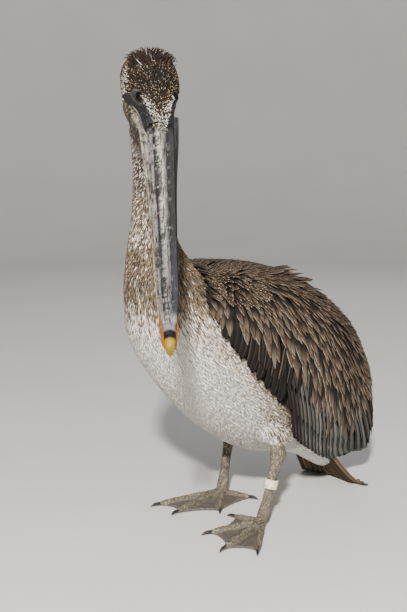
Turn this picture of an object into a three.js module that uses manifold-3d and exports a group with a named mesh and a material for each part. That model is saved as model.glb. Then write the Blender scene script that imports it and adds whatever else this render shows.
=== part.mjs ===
/**
 * An immature brown pelican standing at rest, life size, in millimetres.
 *
 * The bird faces -Y and its left side is +X. Its head is turned to its left, its bill hangs across
 * its breast, its wings are folded and its tail rests on the floor behind its feet. Each named part
 * of the body is one closed solid that reaches the tips of the feathers.
 */
import * as THREE from 'three';
import { mergeVertices } from 'three/addons/utils/BufferGeometryUtils.js';
import Module from 'manifold-3d';

const wasm = await Module();
wasm.setup();

// ---- Driving dimensions, millimetres ---------------------------------------------------------

const GAP = 0.3; // between two solids that touch
const BILL_LENGTH = 306;
const NAIL_LENGTH = 26;
const EYE_RADIUS = 6.6;
const EYE_FROM_MIDLINE = 15.8;
const TARSUS_TOP = 92;
const BAND_HEIGHT = 11;
const BAND_THICKNESS = 1.1;
const WEB_THICKNESS = 2.4;
const TAIL_FEATHERS = 11;
const FLIGHT_FEATHERS = 8;

const degrees = THREE.MathUtils.degToRad;

/** A place on the bird: millimetres to its left, forward, and up from the floor. */
const at = (left, forward, height) => new THREE.Vector3(left, -forward, height);

const UP = at(0, 0, 1);
const FORWARD = at(0, 1, 0);

// ---- Shape tools -----------------------------------------------------------------------------

/** One cross-section: its centre, its half width, and how far it reaches towards and away. */
const ring = (centre, half, toward, away = toward) => ({ centre, sizes: [half, toward, away] });

/** The curve, cross-section sizes and axes that a list of rings gives at any t from 0 to 1. */
function spineOf(rings, facing) {
  const path = new THREE.CatmullRomCurve3(rings.map((r) => r.centre), false, 'centripetal');
  const stations = rings.map((r, i) => i / (rings.length - 1));
  const sizes = new THREE.CubicInterpolant(stations, rings.flatMap((r) => r.sizes), 3);
  return (t) => {
    const along = path.getTangent(t);
    const across = along.clone().cross(facing).normalize();
    const toward = across.clone().cross(along);
    const [half, near, far] = sizes.evaluate(t);
    return { centre: path.getPoint(t), along, across, toward, half, near, far };
  };
}

/** A closed body through a list of oval rings; grow swells it evenly. */
function sweep(rings, { facing = UP, around = 16, steps = 12, grow = 0 } = {}) {
  const spine = spineOf(rings, facing);
  const geometry = new THREE.CylinderGeometry(1, 1, 1, around, steps);
  const place = geometry.attributes.position;
  const point = new THREE.Vector3();
  for (let i = 0; i < place.count; i += 1) {
    const t = THREE.MathUtils.clamp(0.5 - place.getY(i), 0, 1);
    const s = spine(t);
    const sideways = place.getX(i);
    const towards = -place.getZ(i);
    const reach = (towards > 0 ? s.near : s.far) + grow;
    point.copy(s.centre);
    point.addScaledVector(s.across, sideways * (s.half + grow));
    point.addScaledVector(s.toward, towards * reach);
    point.addScaledVector(s.along, (2 * t - 1) * grow);
    place.setXYZ(i, point.x, point.y, point.z);
  }
  return geometry;
}

/** The same shape on the other side of the body. */
function mirrored(geometry) {
  const copy = geometry.clone();
  copy.scale(-1, 1, 1);
  const order = copy.index.array;
  for (let i = 0; i < order.length; i += 3) {
    [order[i], order[i + 1]] = [order[i + 1], order[i]];
  }
  return copy;
}

/** A closed geometry as a solid that can be joined and cut. */
function solid(geometry) {
  const bare = geometry.clone();
  bare.deleteAttribute('normal');
  bare.deleteAttribute('uv');
  const merged = mergeVertices(bare, 1e-4);
  const vertProperties = new Float32Array(merged.attributes.position.array);
  const triVerts = new Uint32Array(merged.index.array);
  return new wasm.Manifold(new wasm.Mesh({ numProp: 3, vertProperties, triVerts }));
}

/** A joined or cut solid as a geometry again. */
function shape(body) {
  const mesh = body.getMesh();
  const geometry = new THREE.BufferGeometry();
  const points = [];
  for (let i = 0; i < mesh.numVert; i += 1) {
    points.push(...mesh.vertProperties.slice(i * mesh.numProp, i * mesh.numProp + 3));
  }
  geometry.setAttribute('position', new THREE.BufferAttribute(new Float32Array(points), 3));
  geometry.setIndex(new THREE.BufferAttribute(new Uint32Array(mesh.triVerts), 1));
  geometry.computeVertexNormals();
  return geometry;
}

/** Everything on the side of a plane that its normal points to. */
function beyond(point, normal) {
  const size = 2000;
  const box = new THREE.BoxGeometry(size, size, size);
  box.translate(0, 0, size / 2);
  const turn = new THREE.Quaternion().setFromUnitVectors(UP, normal.clone().normalize());
  box.applyQuaternion(turn);
  box.translate(point.x, point.y, point.z);
  return solid(box);
}

const ABOVE_FLOOR = beyond(at(0, 0, 0), UP);

// ---- Group and finishes ----------------------------------------------------------------------

const pelican = new THREE.Group();

const finish = (color, roughness) => new THREE.MeshStandardMaterial({ color, roughness });
const brownPlumage = () => finish(0x4b3a2c, 0.9);
const palePlumage = () => finish(0xd9d4c8, 0.9);
const buffPlumage = () => finish(0x8d7a62, 0.9);
const bareSkin = () => finish(0x3d3c42, 0.6);
const billHorn = () => finish(0xa39d90, 0.45);
const clawHorn = () => finish(0x17130f, 0.4);
const legSkin = () => finish(0x8b8072, 0.6);
const nailHorn = () => finish(0xd9a33a, 0.4);
const eyeGloss = () => finish(0x1c120c, 0.1);
const bandPlastic = () => finish(0xd8d3b0, 0.4);

function add(name, geometry, material) {
  const mesh = new THREE.Mesh(geometry, material);
  mesh.name = name;
  pelican.add(mesh);
}

// ---- Trunk, neck and head --------------------------------------------------------------------

const TRUNK_RINGS = [
  ring(at(0, 167, 276), 10, 10, 10),
  ring(at(0, 161, 272), 29, 28, 22),
  ring(at(0, 142, 260), 52, 54, 35),
  ring(at(0, 108, 236), 73, 86, 53),
  ring(at(0, 58, 204), 86, 111, 71),
  ring(at(0, 0, 171), 88, 126, 84),
  ring(at(0, -60, 136), 75, 118, 78),
  ring(at(0, -108, 98), 55, 84, 48),
  ring(at(0, -138, 66), 35, 38, 30),
  ring(at(0, -158, 36), 19, 12, 15),
  ring(at(0, -165, 26), 9, 6, 7),
];

const NECK_RINGS = [
  ring(at(0, 106, 236), 58, 52, 50),
  ring(at(0, 131, 282), 53, 46, 52),
  ring(at(0, 147, 324), 36, 28, 38),
  ring(at(0, 149, 358), 26, 22, 28),
  ring(at(0, 148, 392), 22, 21, 24),
  ring(at(-3, 145, 424), 22, 21, 24),
  ring(at(-9, 141, 454), 22, 22, 26),
  ring(at(-12, 139, 480), 22, 22, 25),
  ring(at(-7, 141, 501), 17, 17, 19),
  ring(at(1, 145, 514), 8, 8, 8),
];

// The head looks down and to the bird's left.
const HEAD_YAW = degrees(54);
const HEAD_PITCH = degrees(38);
const HEAD_CENTRE = at(9, 149, 506);
const LOOK = at(
  Math.cos(HEAD_PITCH) * Math.sin(HEAD_YAW),
  Math.cos(HEAD_PITCH) * Math.cos(HEAD_YAW),
  -Math.sin(HEAD_PITCH),
);
const HEAD_RIGHT = LOOK.clone().cross(UP).normalize();
const HEAD_UP = HEAD_RIGHT.clone().cross(LOOK);

/** A place on the head: millimetres forward, to its right and up from the middle of the skull. */
function onHead(forward, right, up) {
  const place = HEAD_CENTRE.clone();
  place.addScaledVector(LOOK, forward);
  place.addScaledVector(HEAD_RIGHT, right);
  return place.addScaledVector(HEAD_UP, up);
}

const HEAD_RINGS = [
  ring(onHead(-54, 6, 2), 9, 8, 10),
  ring(onHead(-47, 6, 2), 22, 20, 25),
  ring(onHead(-29, 6, 2), 31.5, 31.5, 35),
  ring(onHead(-9, 4, 2), 32, 35.5, 38),
  ring(onHead(6, 1, 1), 27, 33, 36),
  ring(onHead(18, 0, 0), 21.4, 28, 33),
  ring(onHead(31, 0, -2), 18.4, 21, 28),
  ring(onHead(46, 0, -5), 16.8, 14.5, 22),
  ring(onHead(58, 0, -7), 16, 10.5, 16),
];

// Cheeks and throat, which fill the angle between the skull and the top of the neck.
const THROAT_RINGS = [
  ring(onHead(-24, 6, -8), 12, 12, 12),
  ring(onHead(-14, 8, -18), 27, 24, 20),
  ring(onHead(6, 6, -26), 26, 18, 16),
  ring(onHead(26, 3, -28), 21, 14, 14),
  ring(onHead(44, 1, -27), 17, 9, 12),
];

const LEFT_SIDE = -1;
const RIGHT_SIDE = 1;
const eyeCentre = (side) => onHead(16, side * EYE_FROM_MIDLINE, 9);

function eyeball(side, grow = 0) {
  const ball = new THREE.SphereGeometry(EYE_RADIUS + grow, 11, 7);
  const centre = eyeCentre(side);
  ball.translate(centre.x, centre.y, centre.z);
  return ball;
}

// ---- Bill ------------------------------------------------------------------------------------

const BILL_ROOT = at(43.5, 174.5, 465);
const BILL_TIP = at(229, 335, 274);
const BILL_WAY = BILL_TIP.clone().sub(BILL_ROOT).normalize();
const BILL_RIGHT = BILL_WAY.clone().cross(UP).normalize();
const BILL_UP = BILL_RIGHT.clone().cross(BILL_WAY);

/** A place on the bill: a share of its length from the forehead, and millimetres up. */
function onBill(share, up) {
  const place = BILL_ROOT.clone().addScaledVector(BILL_WAY, share * BILL_LENGTH);
  return place.addScaledVector(BILL_UP, up);
}

const NAIL_START = 1 - NAIL_LENGTH / BILL_LENGTH;

const UPPER_RINGS = [
  ring(onBill(-0.04, -1), 13.5, 7, 6.5),
  ring(onBill(0.05, -0.5), 13.8, 7.4, 6.5),
  ring(onBill(0.2, -1), 12.8, 6.5, 5.5),
  ring(onBill(0.4, -2), 11.5, 5.5, 5),
  ring(onBill(0.6, -3), 10.5, 5, 4.5),
  ring(onBill(0.8, -3), 9.2, 4.6, 4),
  ring(onBill(NAIL_START, -2), 5.8, 4.4, 3.6),
];

const NAIL_RINGS = [
  ring(onBill(NAIL_START + 0.001, -2), 5.4, 4.4, 3.6),
  ring(onBill(0.955, -1.8), 5.2, 4.4, 4),
  ring(onBill(0.983, -3), 4.6, 3.8, 4.2),
  ring(onBill(1, -6), 3, 2.4, 3.2),
  ring(onBill(1.007, -9), 1, 0.8, 1),
];

// The jaw opens back to below the eye; its two sides run forward beneath the upper bill.
const LOWER_RINGS = [
  ring(onBill(-0.15, -21), 22.5, 4, 5),
  ring(onBill(0.0, -14), 20.5, 4.5, 5),
  ring(onBill(0.25, -10.6), 15.5, 4.2, 4.8),
  ring(onBill(0.5, -11), 12.6, 4, 4.2),
  ring(onBill(0.75, -10.4), 10.6, 3.6, 3.8),
  ring(onBill(0.91, -8.4), 6.4, 3, 3),
];

const POUCH_RINGS = [
  ring(onBill(-0.19, -33), 20, 6, 18),
  ring(onBill(-0.05, -28), 19.5, 6, 21),
  ring(onBill(0.12, -24), 15.5, 6, 18),
  ring(onBill(0.35, -20), 11.5, 5, 13),
  ring(onBill(0.6, -17), 9, 4, 8),
  ring(onBill(0.82, -15), 6, 3, 3),
];

// ---- Wings -----------------------------------------------------------------------------------

/** The form that the folded wings lie on: the trunk in front, and free of it behind. */
const WING_FORM_RINGS = [
  ring(at(0, 162, 273), 34, 32, 31),
  ring(at(0, 143, 260), 57, 57, 41),
  ring(at(0, 108, 236), 77, 88, 57),
  ring(at(0, 58, 204), 91, 113, 75),
  ring(at(0, 0, 171), 93, 128, 89),
  ring(at(0, -60, 138), 87, 130, 86),
  ring(at(0, -114, 108), 74, 119, 66),
  ring(at(0, -158, 86), 60, 94, 44),
  ring(at(0, -190, 66), 48, 58, 28),
  ring(at(0, -210, 50), 36, 22, 14),
];
const wingForm = spineOf(WING_FORM_RINGS, UP);

/** A point over the left flank: t from breast to tail, angle up from the side, and lift. */
function onFlank(t, angle, lift) {
  const s = wingForm(THREE.MathUtils.clamp(t, 0, 1));
  const height = angle > 0 ? s.near : s.far;
  const outward = new THREE.Vector2(Math.cos(angle) / s.half, Math.sin(angle) / height).normalize();
  const place = s.centre.clone();
  place.addScaledVector(s.across, s.half * Math.cos(angle) + lift * outward.x);
  return place.addScaledVector(s.toward, height * Math.sin(angle) + lift * outward.y);
}

/** A closed sheet over the left flank. route(a, b) gives t, angle and thickness at each place. */
function flankSheet(columns, rows, grow, route) {
  const geometry = new THREE.BoxGeometry(1, 1, 1, columns, rows, 1);
  const place = geometry.attributes.position;
  for (let i = 0; i < place.count; i += 1) {
    const [t, angle, thickness] = route(place.getX(i) + 0.5, place.getY(i) + 0.5);
    const lift = place.getZ(i) > 0 ? GAP + thickness + grow : GAP - grow;
    const point = onFlank(t, angle, lift);
    place.setXYZ(i, point.x, point.y, point.z);
  }
  return geometry;
}

// Lower and upper edges of the folded wing, in degrees up from the side, from front to back.
const WING_EDGE_STATIONS = [0.1, 0.2, 0.3, 0.45, 0.6, 0.75, 0.9, 1];
const WING_LOW = [0, -7, -16, -26, -33, -38, -50, -60];
const WING_HIGH = [40, 64, 80, 86, 87, 87, 87, 87];
const lowEdge = new THREE.CubicInterpolant(WING_EDGE_STATIONS, WING_LOW, 1);
const highEdge = new THREE.CubicInterpolant(WING_EDGE_STATIONS, WING_HIGH, 1);

const SHIELD_START = 0.15;
const SHIELD_END = 0.62;

/** The rounded shoulder with its coverts, thickest at the wrist. */
function wingShield(grow = 0) {
  return flankSheet(11, 10, grow, (a, b) => {
    const t = THREE.MathUtils.lerp(SHIELD_START, SHIELD_END, a ** 1.2);
    const opening = Math.sqrt(1 - (1 - Math.min(a / 0.3, 1)) ** 2);
    const low = lowEdge.evaluate(t)[0];
    const high = highEdge.evaluate(t)[0];
    const middle = THREE.MathUtils.lerp(low, high, 0.4);
    const spread = THREE.MathUtils.lerp(0.25, 1, opening);
    const angle = middle + (THREE.MathUtils.lerp(low, high, b) - middle) * spread;
    const crown = 1 - (b < 0.5 ? 1 : 0.6) * Math.abs(2 * b - 1) ** 3;
    const body = THREE.MathUtils.lerp(14, 8, Math.min(a / 0.7, 1));
    return [t, degrees(angle), 2 + body * crown * THREE.MathUtils.lerp(0.5, 1, opening)];
  });
}

/** Secondaries, tertials and primaries, each with its own rounded tip and raised edge. */
function wingFlight() {
  return flankSheet(5, FLIGHT_FEATHERS * 2, 0, (a, b) => {
    const feather = (b * FLIGHT_FEATHERS) % 1;
    const tip = 0.035 * Math.sin(Math.PI * feather);
    const reach = 0.945 + tip + 0.035 * Math.sin(Math.PI * b);
    const t = THREE.MathUtils.lerp(SHIELD_END + 0.0015, reach, a);
    const angle = THREE.MathUtils.lerp(lowEdge.evaluate(t)[0], highEdge.evaluate(t)[0], b);
    const crown = 1 - (b < 0.5 ? 1 : 0.6) * Math.abs(2 * b - 1) ** 3;
    const shingle = 1.2 * (1 - feather);
    return [t, degrees(angle), THREE.MathUtils.lerp(2 + 8 * crown, 2.2, a) + shingle];
  });
}

// ---- Tail ------------------------------------------------------------------------------------

const TAIL_ROOT_HALF = 20;
const TAIL_TIP_HALF = 58;
const tailWay = new THREE.CatmullRomCurve3([
  at(0, -108, 100),
  at(0, -140, 58),
  at(0, -168, 20),
  at(0, -184, 3.5),
  at(0, -204, 1.2),
]);

/** The tail feathers as one fan, each with a rounded tip, that ends flat on the floor. */
function tailFan() {
  const geometry = new THREE.BoxGeometry(1, 1, 1, TAIL_FEATHERS * 2, 6, 1);
  const place = geometry.attributes.position;
  const across = at(1, 0, 0);
  for (let i = 0; i < place.count; i += 1) {
    const b = place.getX(i) + 0.5;
    const a = place.getY(i) + 0.5;
    const feather = (b * TAIL_FEATHERS) % 1;
    const middle = 1 - (2 * b - 1) ** 2;
    const reach = 0.84 + 0.12 * middle + 0.035 * Math.sin(Math.PI * feather);
    const t = a * reach;
    const along = tailWay.getTangent(t);
    const upward = across.clone().cross(along);
    const half = THREE.MathUtils.lerp(TAIL_ROOT_HALF, TAIL_TIP_HALF, t);
    const top = THREE.MathUtils.lerp(5, 1.2, t) + 1.1 * Math.abs(2 * b - 1);
    const bottom = THREE.MathUtils.lerp(-5, -1.6, t);
    const lift = place.getZ(i) > 0 ? top : bottom;
    const arch = THREE.MathUtils.lerp(-9, 0, Math.min(1, t * 1.25)) * (2 * b - 1) ** 2;
    const point = tailWay.getPoint(t).addScaledVector(across, half * (2 * b - 1));
    point.addScaledVector(upward, lift + arch);
    place.setXYZ(i, point.x, point.y, point.z);
  }
  return geometry;
}

// ---- Legs and feet ---------------------------------------------------------------------------

/** Where each leg stands: its heel, its hock, and which way its middle toe points. */
const LEGS = {
  left: {
    heel: at(58, 25, 0),
    hock: at(66, 4, TARSUS_TOP),
    thigh: at(52, 8, 138),
    out: 1,
    turn: 16,
  },
  right: {
    heel: at(-58, -26, 0),
    hock: at(-63, -48, TARSUS_TOP),
    thigh: at(-50, -42, 134),
    out: -1,
    turn: -9,
  },
};

const thighRings = ({ hock, thigh }) => [
  ring(thigh.clone(), 20, 22, 24),
  ring(thigh.clone().lerp(hock, 0.4), 17, 19, 21),
  ring(thigh.clone().lerp(hock, 0.72), 12, 12.5, 15),
  ring(thigh.clone().lerp(hock, 0.92), 9, 9, 11),
];

/** A place on the tarsus: 0 at the hock, 1 at the ball of the foot. */
function onTarsus({ hock, heel }, share, forward = 0) {
  const ball = heel.clone().add(at(0, 0, 7));
  return hock.clone().lerp(ball, share).addScaledVector(FORWARD, forward);
}

const tarsusRings = (leg) => [
  ring(onTarsus(leg, 0.02), 7.6, 8, 9),
  ring(onTarsus(leg, 0.1), 8.6, 9, 10),
  ring(onTarsus(leg, 0.24), 6.4, 7.4, 7.8),
  ring(onTarsus(leg, 0.5), 4.8, 6.6, 6.6),
  ring(onTarsus(leg, 0.75), 5, 6.4, 6.6),
  ring(onTarsus(leg, 0.92), 7, 7.4, 8),
  ring(onTarsus(leg, 1.0), 7.4, 7.4, 7.8),
];

// Each toe of the left foot: degrees out from the middle toe, length to the claw, joint height.
const TOES = [
  { name: 'hind', angle: -98, length: 40, height: 7 },
  { name: 'inner', angle: -33, length: 70, height: 8 },
  { name: 'middle', angle: 0, length: 96, height: 8.5 },
  { name: 'outer', angle: 23, length: 93, height: 8 },
];

/** A place on the foot's own ground plan, from its heel out along a toe. */
function onToe(leg, toe, distance, height) {
  const way = degrees(leg.out * (leg.turn + toe.angle));
  const place = leg.heel.clone().add(at(distance * Math.sin(way), distance * Math.cos(way), 0));
  return place.setZ(height);
}

function toeSolid(leg, toe) {
  const share = (part) => toe.length * part;
  const h = toe.height;
  const rings = [
    ring(onToe(leg, toe, 0, h * 0.62), 5.4, h * 0.6),
    ring(onToe(leg, toe, share(0.3), h * 0.5), 4.3, h * 0.5),
    ring(onToe(leg, toe, share(0.42), h * 0.55), 4.9, h * 0.55),
    ring(onToe(leg, toe, share(0.62), h * 0.44), 3.8, h * 0.46),
    ring(onToe(leg, toe, share(0.72), h * 0.48), 4.3, h * 0.5),
    ring(onToe(leg, toe, share(0.9), h * 0.4), 3.4, h * 0.42),
    ring(onToe(leg, toe, share(1), h * 0.38), 2.5, h * 0.32),
  ];
  return solid(sweep(rings, { around: 6, steps: 7 }));
}

/** The web joins all four toes; its free edges curve in between them. */
function webSolid(leg) {
  const flat = (v) => new THREE.Vector2(v.x, v.y);
  const outline = new THREE.Shape();
  const heel = flat(leg.heel);
  outline.moveTo(heel.x, heel.y);
  TOES.forEach((toe, i) => {
    const tip = flat(onToe(leg, toe, toe.length * 0.96, 0));
    if (i === 0) {
      outline.lineTo(tip.x, tip.y);
    } else {
      const last = TOES[i - 1];
      const between = flat(onToe(leg, last, last.length * 0.8, 0));
      between.add(flat(onToe(leg, toe, toe.length * 0.8, 0))).multiplyScalar(0.5);
      outline.quadraticCurveTo(between.x, between.y, tip.x, tip.y);
    }
  });
  outline.closePath();
  const settings = { depth: WEB_THICKNESS, bevelEnabled: false, curveSegments: 5 };
  return solid(new THREE.ExtrudeGeometry(outline, settings));
}

/** A hooked claw that curves down from the end of its toe and stays just clear of the floor. */
function claw(leg, toe) {
  const from = toe.length + GAP;
  const h = toe.height * 0.38;
  const rings = [
    ring(onToe(leg, toe, from, h + 0.3), 2, 2.2, 1.9),
    ring(onToe(leg, toe, from + 4, h + 0.4), 1.8, 2, 1.9),
    ring(onToe(leg, toe, from + 8, h - 0.1), 1.3, 1.5, 1.4),
    ring(onToe(leg, toe, from + 11.5, h - 1.6), 0.4, 0.5, 0.4),
  ];
  return sweep(rings, { around: 6, steps: 4 });
}

/** A flat closed ring, a little loose round the shank, turned to stand square to it. */
function legBand(leg) {
  const inner = 6.2;
  const half = BAND_HEIGHT / 2;
  const profile = [
    new THREE.Vector2(inner, -half),
    new THREE.Vector2(inner + BAND_THICKNESS, -half),
    new THREE.Vector2(inner + BAND_THICKNESS, half),
    new THREE.Vector2(inner, half),
    new THREE.Vector2(inner, -half),
  ];
  const band = new THREE.LatheGeometry(profile, 20);
  band.rotateX(Math.PI / 2);
  band.scale(1, 1.25, 1);
  const way = leg.hock.clone().sub(onTarsus(leg, 1)).normalize();
  band.applyQuaternion(new THREE.Quaternion().setFromUnitVectors(UP, way));
  const centre = onTarsus(leg, 0.5);
  return band.translate(centre.x, centre.y, centre.z);
}

// ---- Build -----------------------------------------------------------------------------------

const TRUNK_DETAIL = { around: 22, steps: 15 };
const BILL_DETAIL = { facing: BILL_UP, around: 12, steps: 11 };
const JAW_DETAIL = { facing: BILL_UP, around: 10, steps: 9 };
const THIGH_DETAIL = { facing: FORWARD, around: 14, steps: 6 };
const SHANK_DETAIL = { facing: FORWARD, around: 10, steps: 12 };

const trunk = (grow) => solid(sweep(TRUNK_RINGS, { ...TRUNK_DETAIL, grow }));
const upper = (grow) => solid(sweep(UPPER_RINGS, { ...BILL_DETAIL, grow }));
const lower = (grow) => solid(sweep(LOWER_RINGS, { ...JAW_DETAIL, grow }));
const pouch = (grow) => solid(sweep(POUCH_RINGS, { ...JAW_DETAIL, grow }));
const thigh = (leg, grow) => solid(sweep(thighRings(leg), { ...THIGH_DETAIL, grow }));
const shank = (leg, grow) => solid(sweep(tarsusRings(leg), { ...SHANK_DETAIL, grow }));

/** Trunk, neck and head as one body, cleared of the bill, eyes and wings. */
function wholeFlesh() {
  const neck = solid(sweep(NECK_RINGS, { facing: FORWARD, around: 16, steps: 12 }));
  const skull = solid(sweep(HEAD_RINGS, { facing: HEAD_UP, around: 16, steps: 12 }));
  const throat = solid(sweep(THROAT_RINGS, { facing: HEAD_UP, around: 12, steps: 7 }));
  let flesh = trunk(0).add(neck).add(skull).add(throat);
  for (const tool of [upper(GAP), lower(GAP), pouch(GAP)]) {
    flesh = flesh.subtract(tool);
  }
  for (const side of [LEFT_SIDE, RIGHT_SIDE]) {
    flesh = flesh.subtract(solid(eyeball(side, GAP)));
  }
  flesh = flesh.subtract(solid(wingShield(GAP)));
  return flesh.subtract(solid(mirrored(wingShield(GAP))));
}

/** The lengths of the body from the tail up: each ends at a plane, given by a point and a way up. */
const FLESH_LENGTHS = [
  { name: 'trunk', finish: palePlumage, end: at(0, 150, 318), way: at(0, 0.45, 0.9) },
  { name: 'neck_lower', finish: palePlumage, end: at(0, 150, 362), way: at(0, 0, 1) },
  { name: 'neck_middle', finish: buffPlumage, end: at(0, 142, 412), way: at(-0.05, -0.1, 1) },
  { name: 'neck_upper', finish: buffPlumage, end: at(0, 140, 462), way: at(0.5, 0.35, 0.79) },
  { name: 'head', finish: brownPlumage },
];

let rest = wholeFlesh();
for (const length of FLESH_LENGTHS) {
  let piece = rest;
  if (length.end) {
    const way = length.way.clone().normalize();
    piece = rest.subtract(beyond(length.end, way));
    rest = rest.intersect(beyond(length.end.clone().addScaledVector(way, GAP), way));
  }
  add(length.name, shape(piece), length.finish());
}

add('eye_left', eyeball(LEFT_SIDE), eyeGloss());
add('eye_right', eyeball(RIGHT_SIDE), eyeGloss());

add('bill_upper', shape(upper(0)), billHorn());
add('bill_nail', sweep(NAIL_RINGS, { facing: BILL_UP, around: 8, steps: 7 }), nailHorn());
add('bill_lower', shape(lower(0).subtract(upper(GAP))), billHorn());
add('gular_pouch', shape(pouch(0).subtract(lower(GAP))), bareSkin());

add('wing_left', wingShield(), brownPlumage());
add('wing_left_flight', wingFlight(), brownPlumage());
add('wing_right', mirrored(wingShield()), brownPlumage());
add('wing_right_flight', mirrored(wingFlight()), brownPlumage());

add('tail', shape(solid(tailFan()).intersect(ABOVE_FLOOR).subtract(trunk(GAP))), brownPlumage());

for (const [side, leg] of Object.entries(LEGS)) {
  add(`thigh_${side}`, shape(thigh(leg, 0).subtract(trunk(GAP))), palePlumage());
  add(`tarsus_${side}`, shape(shank(leg, 0).subtract(thigh(leg, GAP))), legSkin());
  let foot = webSolid(leg);
  for (const toe of TOES) {
    foot = foot.add(toeSolid(leg, toe));
    add(`claw_${side}_${toe.name}`, claw(leg, toe), clawHorn());
  }
  foot = foot.intersect(ABOVE_FLOOR).subtract(shank(leg, GAP));
  add(`foot_${side}`, shape(foot), legSkin());
}
add('leg_band', legBand(LEGS.left), bandPlastic());

// The part's own origin is under the middle of its outline, on the floor.
const outline = new THREE.Box3().setFromObject(pelican);
const middle = outline.getCenter(new THREE.Vector3());
for (const mesh of pelican.children) {
  mesh.position.set(-middle.x, -middle.y, 0);
}

export default pelican;
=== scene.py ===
"""An immature brown pelican at rest, life size: skin, plumage, bill, eyes, feet and leg ring.

Lengths are metres in the frame's own axes. Places on the bird are given as millimetres to its left,
forward and up from the floor, measured from the line between its feet.
"""
import math

import bmesh
import bpy
import numpy as np
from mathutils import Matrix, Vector
from mathutils.bvhtree import BVHTree


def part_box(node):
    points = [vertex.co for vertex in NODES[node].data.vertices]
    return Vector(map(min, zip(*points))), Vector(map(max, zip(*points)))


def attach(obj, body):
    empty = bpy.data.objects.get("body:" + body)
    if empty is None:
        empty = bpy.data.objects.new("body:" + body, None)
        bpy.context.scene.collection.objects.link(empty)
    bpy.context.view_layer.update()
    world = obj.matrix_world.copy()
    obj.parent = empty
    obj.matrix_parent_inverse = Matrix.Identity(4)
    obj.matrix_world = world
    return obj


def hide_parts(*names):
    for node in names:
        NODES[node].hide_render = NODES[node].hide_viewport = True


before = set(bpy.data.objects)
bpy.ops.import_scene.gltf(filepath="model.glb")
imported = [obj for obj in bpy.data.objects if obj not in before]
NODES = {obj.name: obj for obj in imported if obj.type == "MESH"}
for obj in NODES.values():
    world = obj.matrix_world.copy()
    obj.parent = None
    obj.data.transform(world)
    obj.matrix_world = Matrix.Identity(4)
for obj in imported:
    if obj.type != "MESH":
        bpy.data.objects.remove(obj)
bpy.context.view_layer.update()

# ---- Places and directions on the bird ------------------------------------------------------------

TRUNK_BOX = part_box("trunk")
MIDLINE = (TRUNK_BOX[0].x + TRUNK_BOX[1].x) / 2
FEET_LINE = 0.05235
MM = 0.001

LEFT = np.array([1.0, 0, 0])
FORWARD = np.array([0, -1.0, 0])
UP = np.array([0, 0, 1.0])


def place(left, forward, height):
    """A place given in millimetres on the bird, as a point of the frame."""
    return np.array([MIDLINE + left * MM, FEET_LINE - forward * MM, height * MM])


def on_bird(points):
    """Millimetres left, forward and up of points of the frame."""
    points = np.asarray(points)
    left = (points[..., 0] - MIDLINE) / MM
    forward = (FEET_LINE - points[..., 1]) / MM
    return left, forward, points[..., 2] / MM


def unit(vectors):
    return vectors / np.maximum(np.linalg.norm(vectors, axis=-1, keepdims=True), 1e-12)


def flat_on(vectors, normals):
    """The part of each vector that lies in the surface, made one long."""
    return unit(vectors - (vectors * normals).sum(-1, keepdims=True) * normals)


def rise(values, low, high):
    """0 below low, 1 above high, and smooth in between."""
    share = np.clip((values - low) / (high - low), 0, 1)
    return share * share * (3 - 2 * share)


def hump(values, centre, half):
    """1 at centre, falling smoothly on both sides, to about a third at half away."""
    return np.exp(-(((values - centre) / half) ** 2))


def mixed(a, b, share):
    share = np.asarray(share)[..., None]
    return a * (1 - share) + b * share


def painted(tone, *coats):
    """Colours laid over a ground one after another, each by its share."""
    for colour, share in coats:
        tone = mixed(tone, colour, share)
    return tone


def paint(code):
    """A colour written as a six-digit web code, as the linear values that shaders use."""
    channels = np.array([int(code[i : i + 2], 16) / 255 for i in (0, 2, 4)])
    return np.where(channels <= 0.04045, channels / 12.92, ((channels + 0.055) / 1.055) ** 2.4)


HEAD_YAW = math.radians(54)
HEAD_PITCH = math.radians(38)
HEAD_CENTRE = place(9, 149, 506)
LOOK = (
    math.cos(HEAD_PITCH) * (math.sin(HEAD_YAW) * LEFT + math.cos(HEAD_YAW) * FORWARD)
    - math.sin(HEAD_PITCH) * UP
)
HEAD_RIGHT = unit(np.cross(LOOK, UP))
HEAD_UP = np.cross(HEAD_RIGHT, LOOK)

BILL_ROOT = place(43.5, 174.5, 465)
BILL_TIP = place(229, 335, 274)
BILL_LENGTH = 306
BILL_WAY = unit(BILL_TIP - BILL_ROOT)
BILL_RIGHT = unit(np.cross(BILL_WAY, UP))
BILL_UP = np.cross(BILL_RIGHT, BILL_WAY)


def on_head(forward, right, up):
    return HEAD_CENTRE + MM * (forward * LOOK + right * HEAD_RIGHT + up * HEAD_UP)


def head_measures(points):
    """Millimetres forward, right and up of the middle of the skull."""
    offset = (np.asarray(points) - HEAD_CENTRE) / MM
    return offset @ LOOK, offset @ HEAD_RIGHT, offset @ HEAD_UP


def on_bill(share, right, up):
    way = share[..., None] * BILL_LENGTH * BILL_WAY
    return BILL_ROOT + MM * (way + right[..., None] * BILL_RIGHT + up[..., None] * BILL_UP)


def bill_measures(points):
    """Share of the bill's length, and millimetres right and up of its middle line."""
    offset = (np.asarray(points) - BILL_ROOT) / MM
    return offset @ BILL_WAY / BILL_LENGTH, offset @ BILL_RIGHT, offset @ BILL_UP


# ---- Surfaces -------------------------------------------------------------------------------------


ROOT_GRAIN = 0.75  # mm between the places that are tried as roots
SPACING_STEPS = 5  # steps of spacing in each factor of e
CELL_SHARE = 1.15  # size of the cell that holds one root, by its spacing


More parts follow.
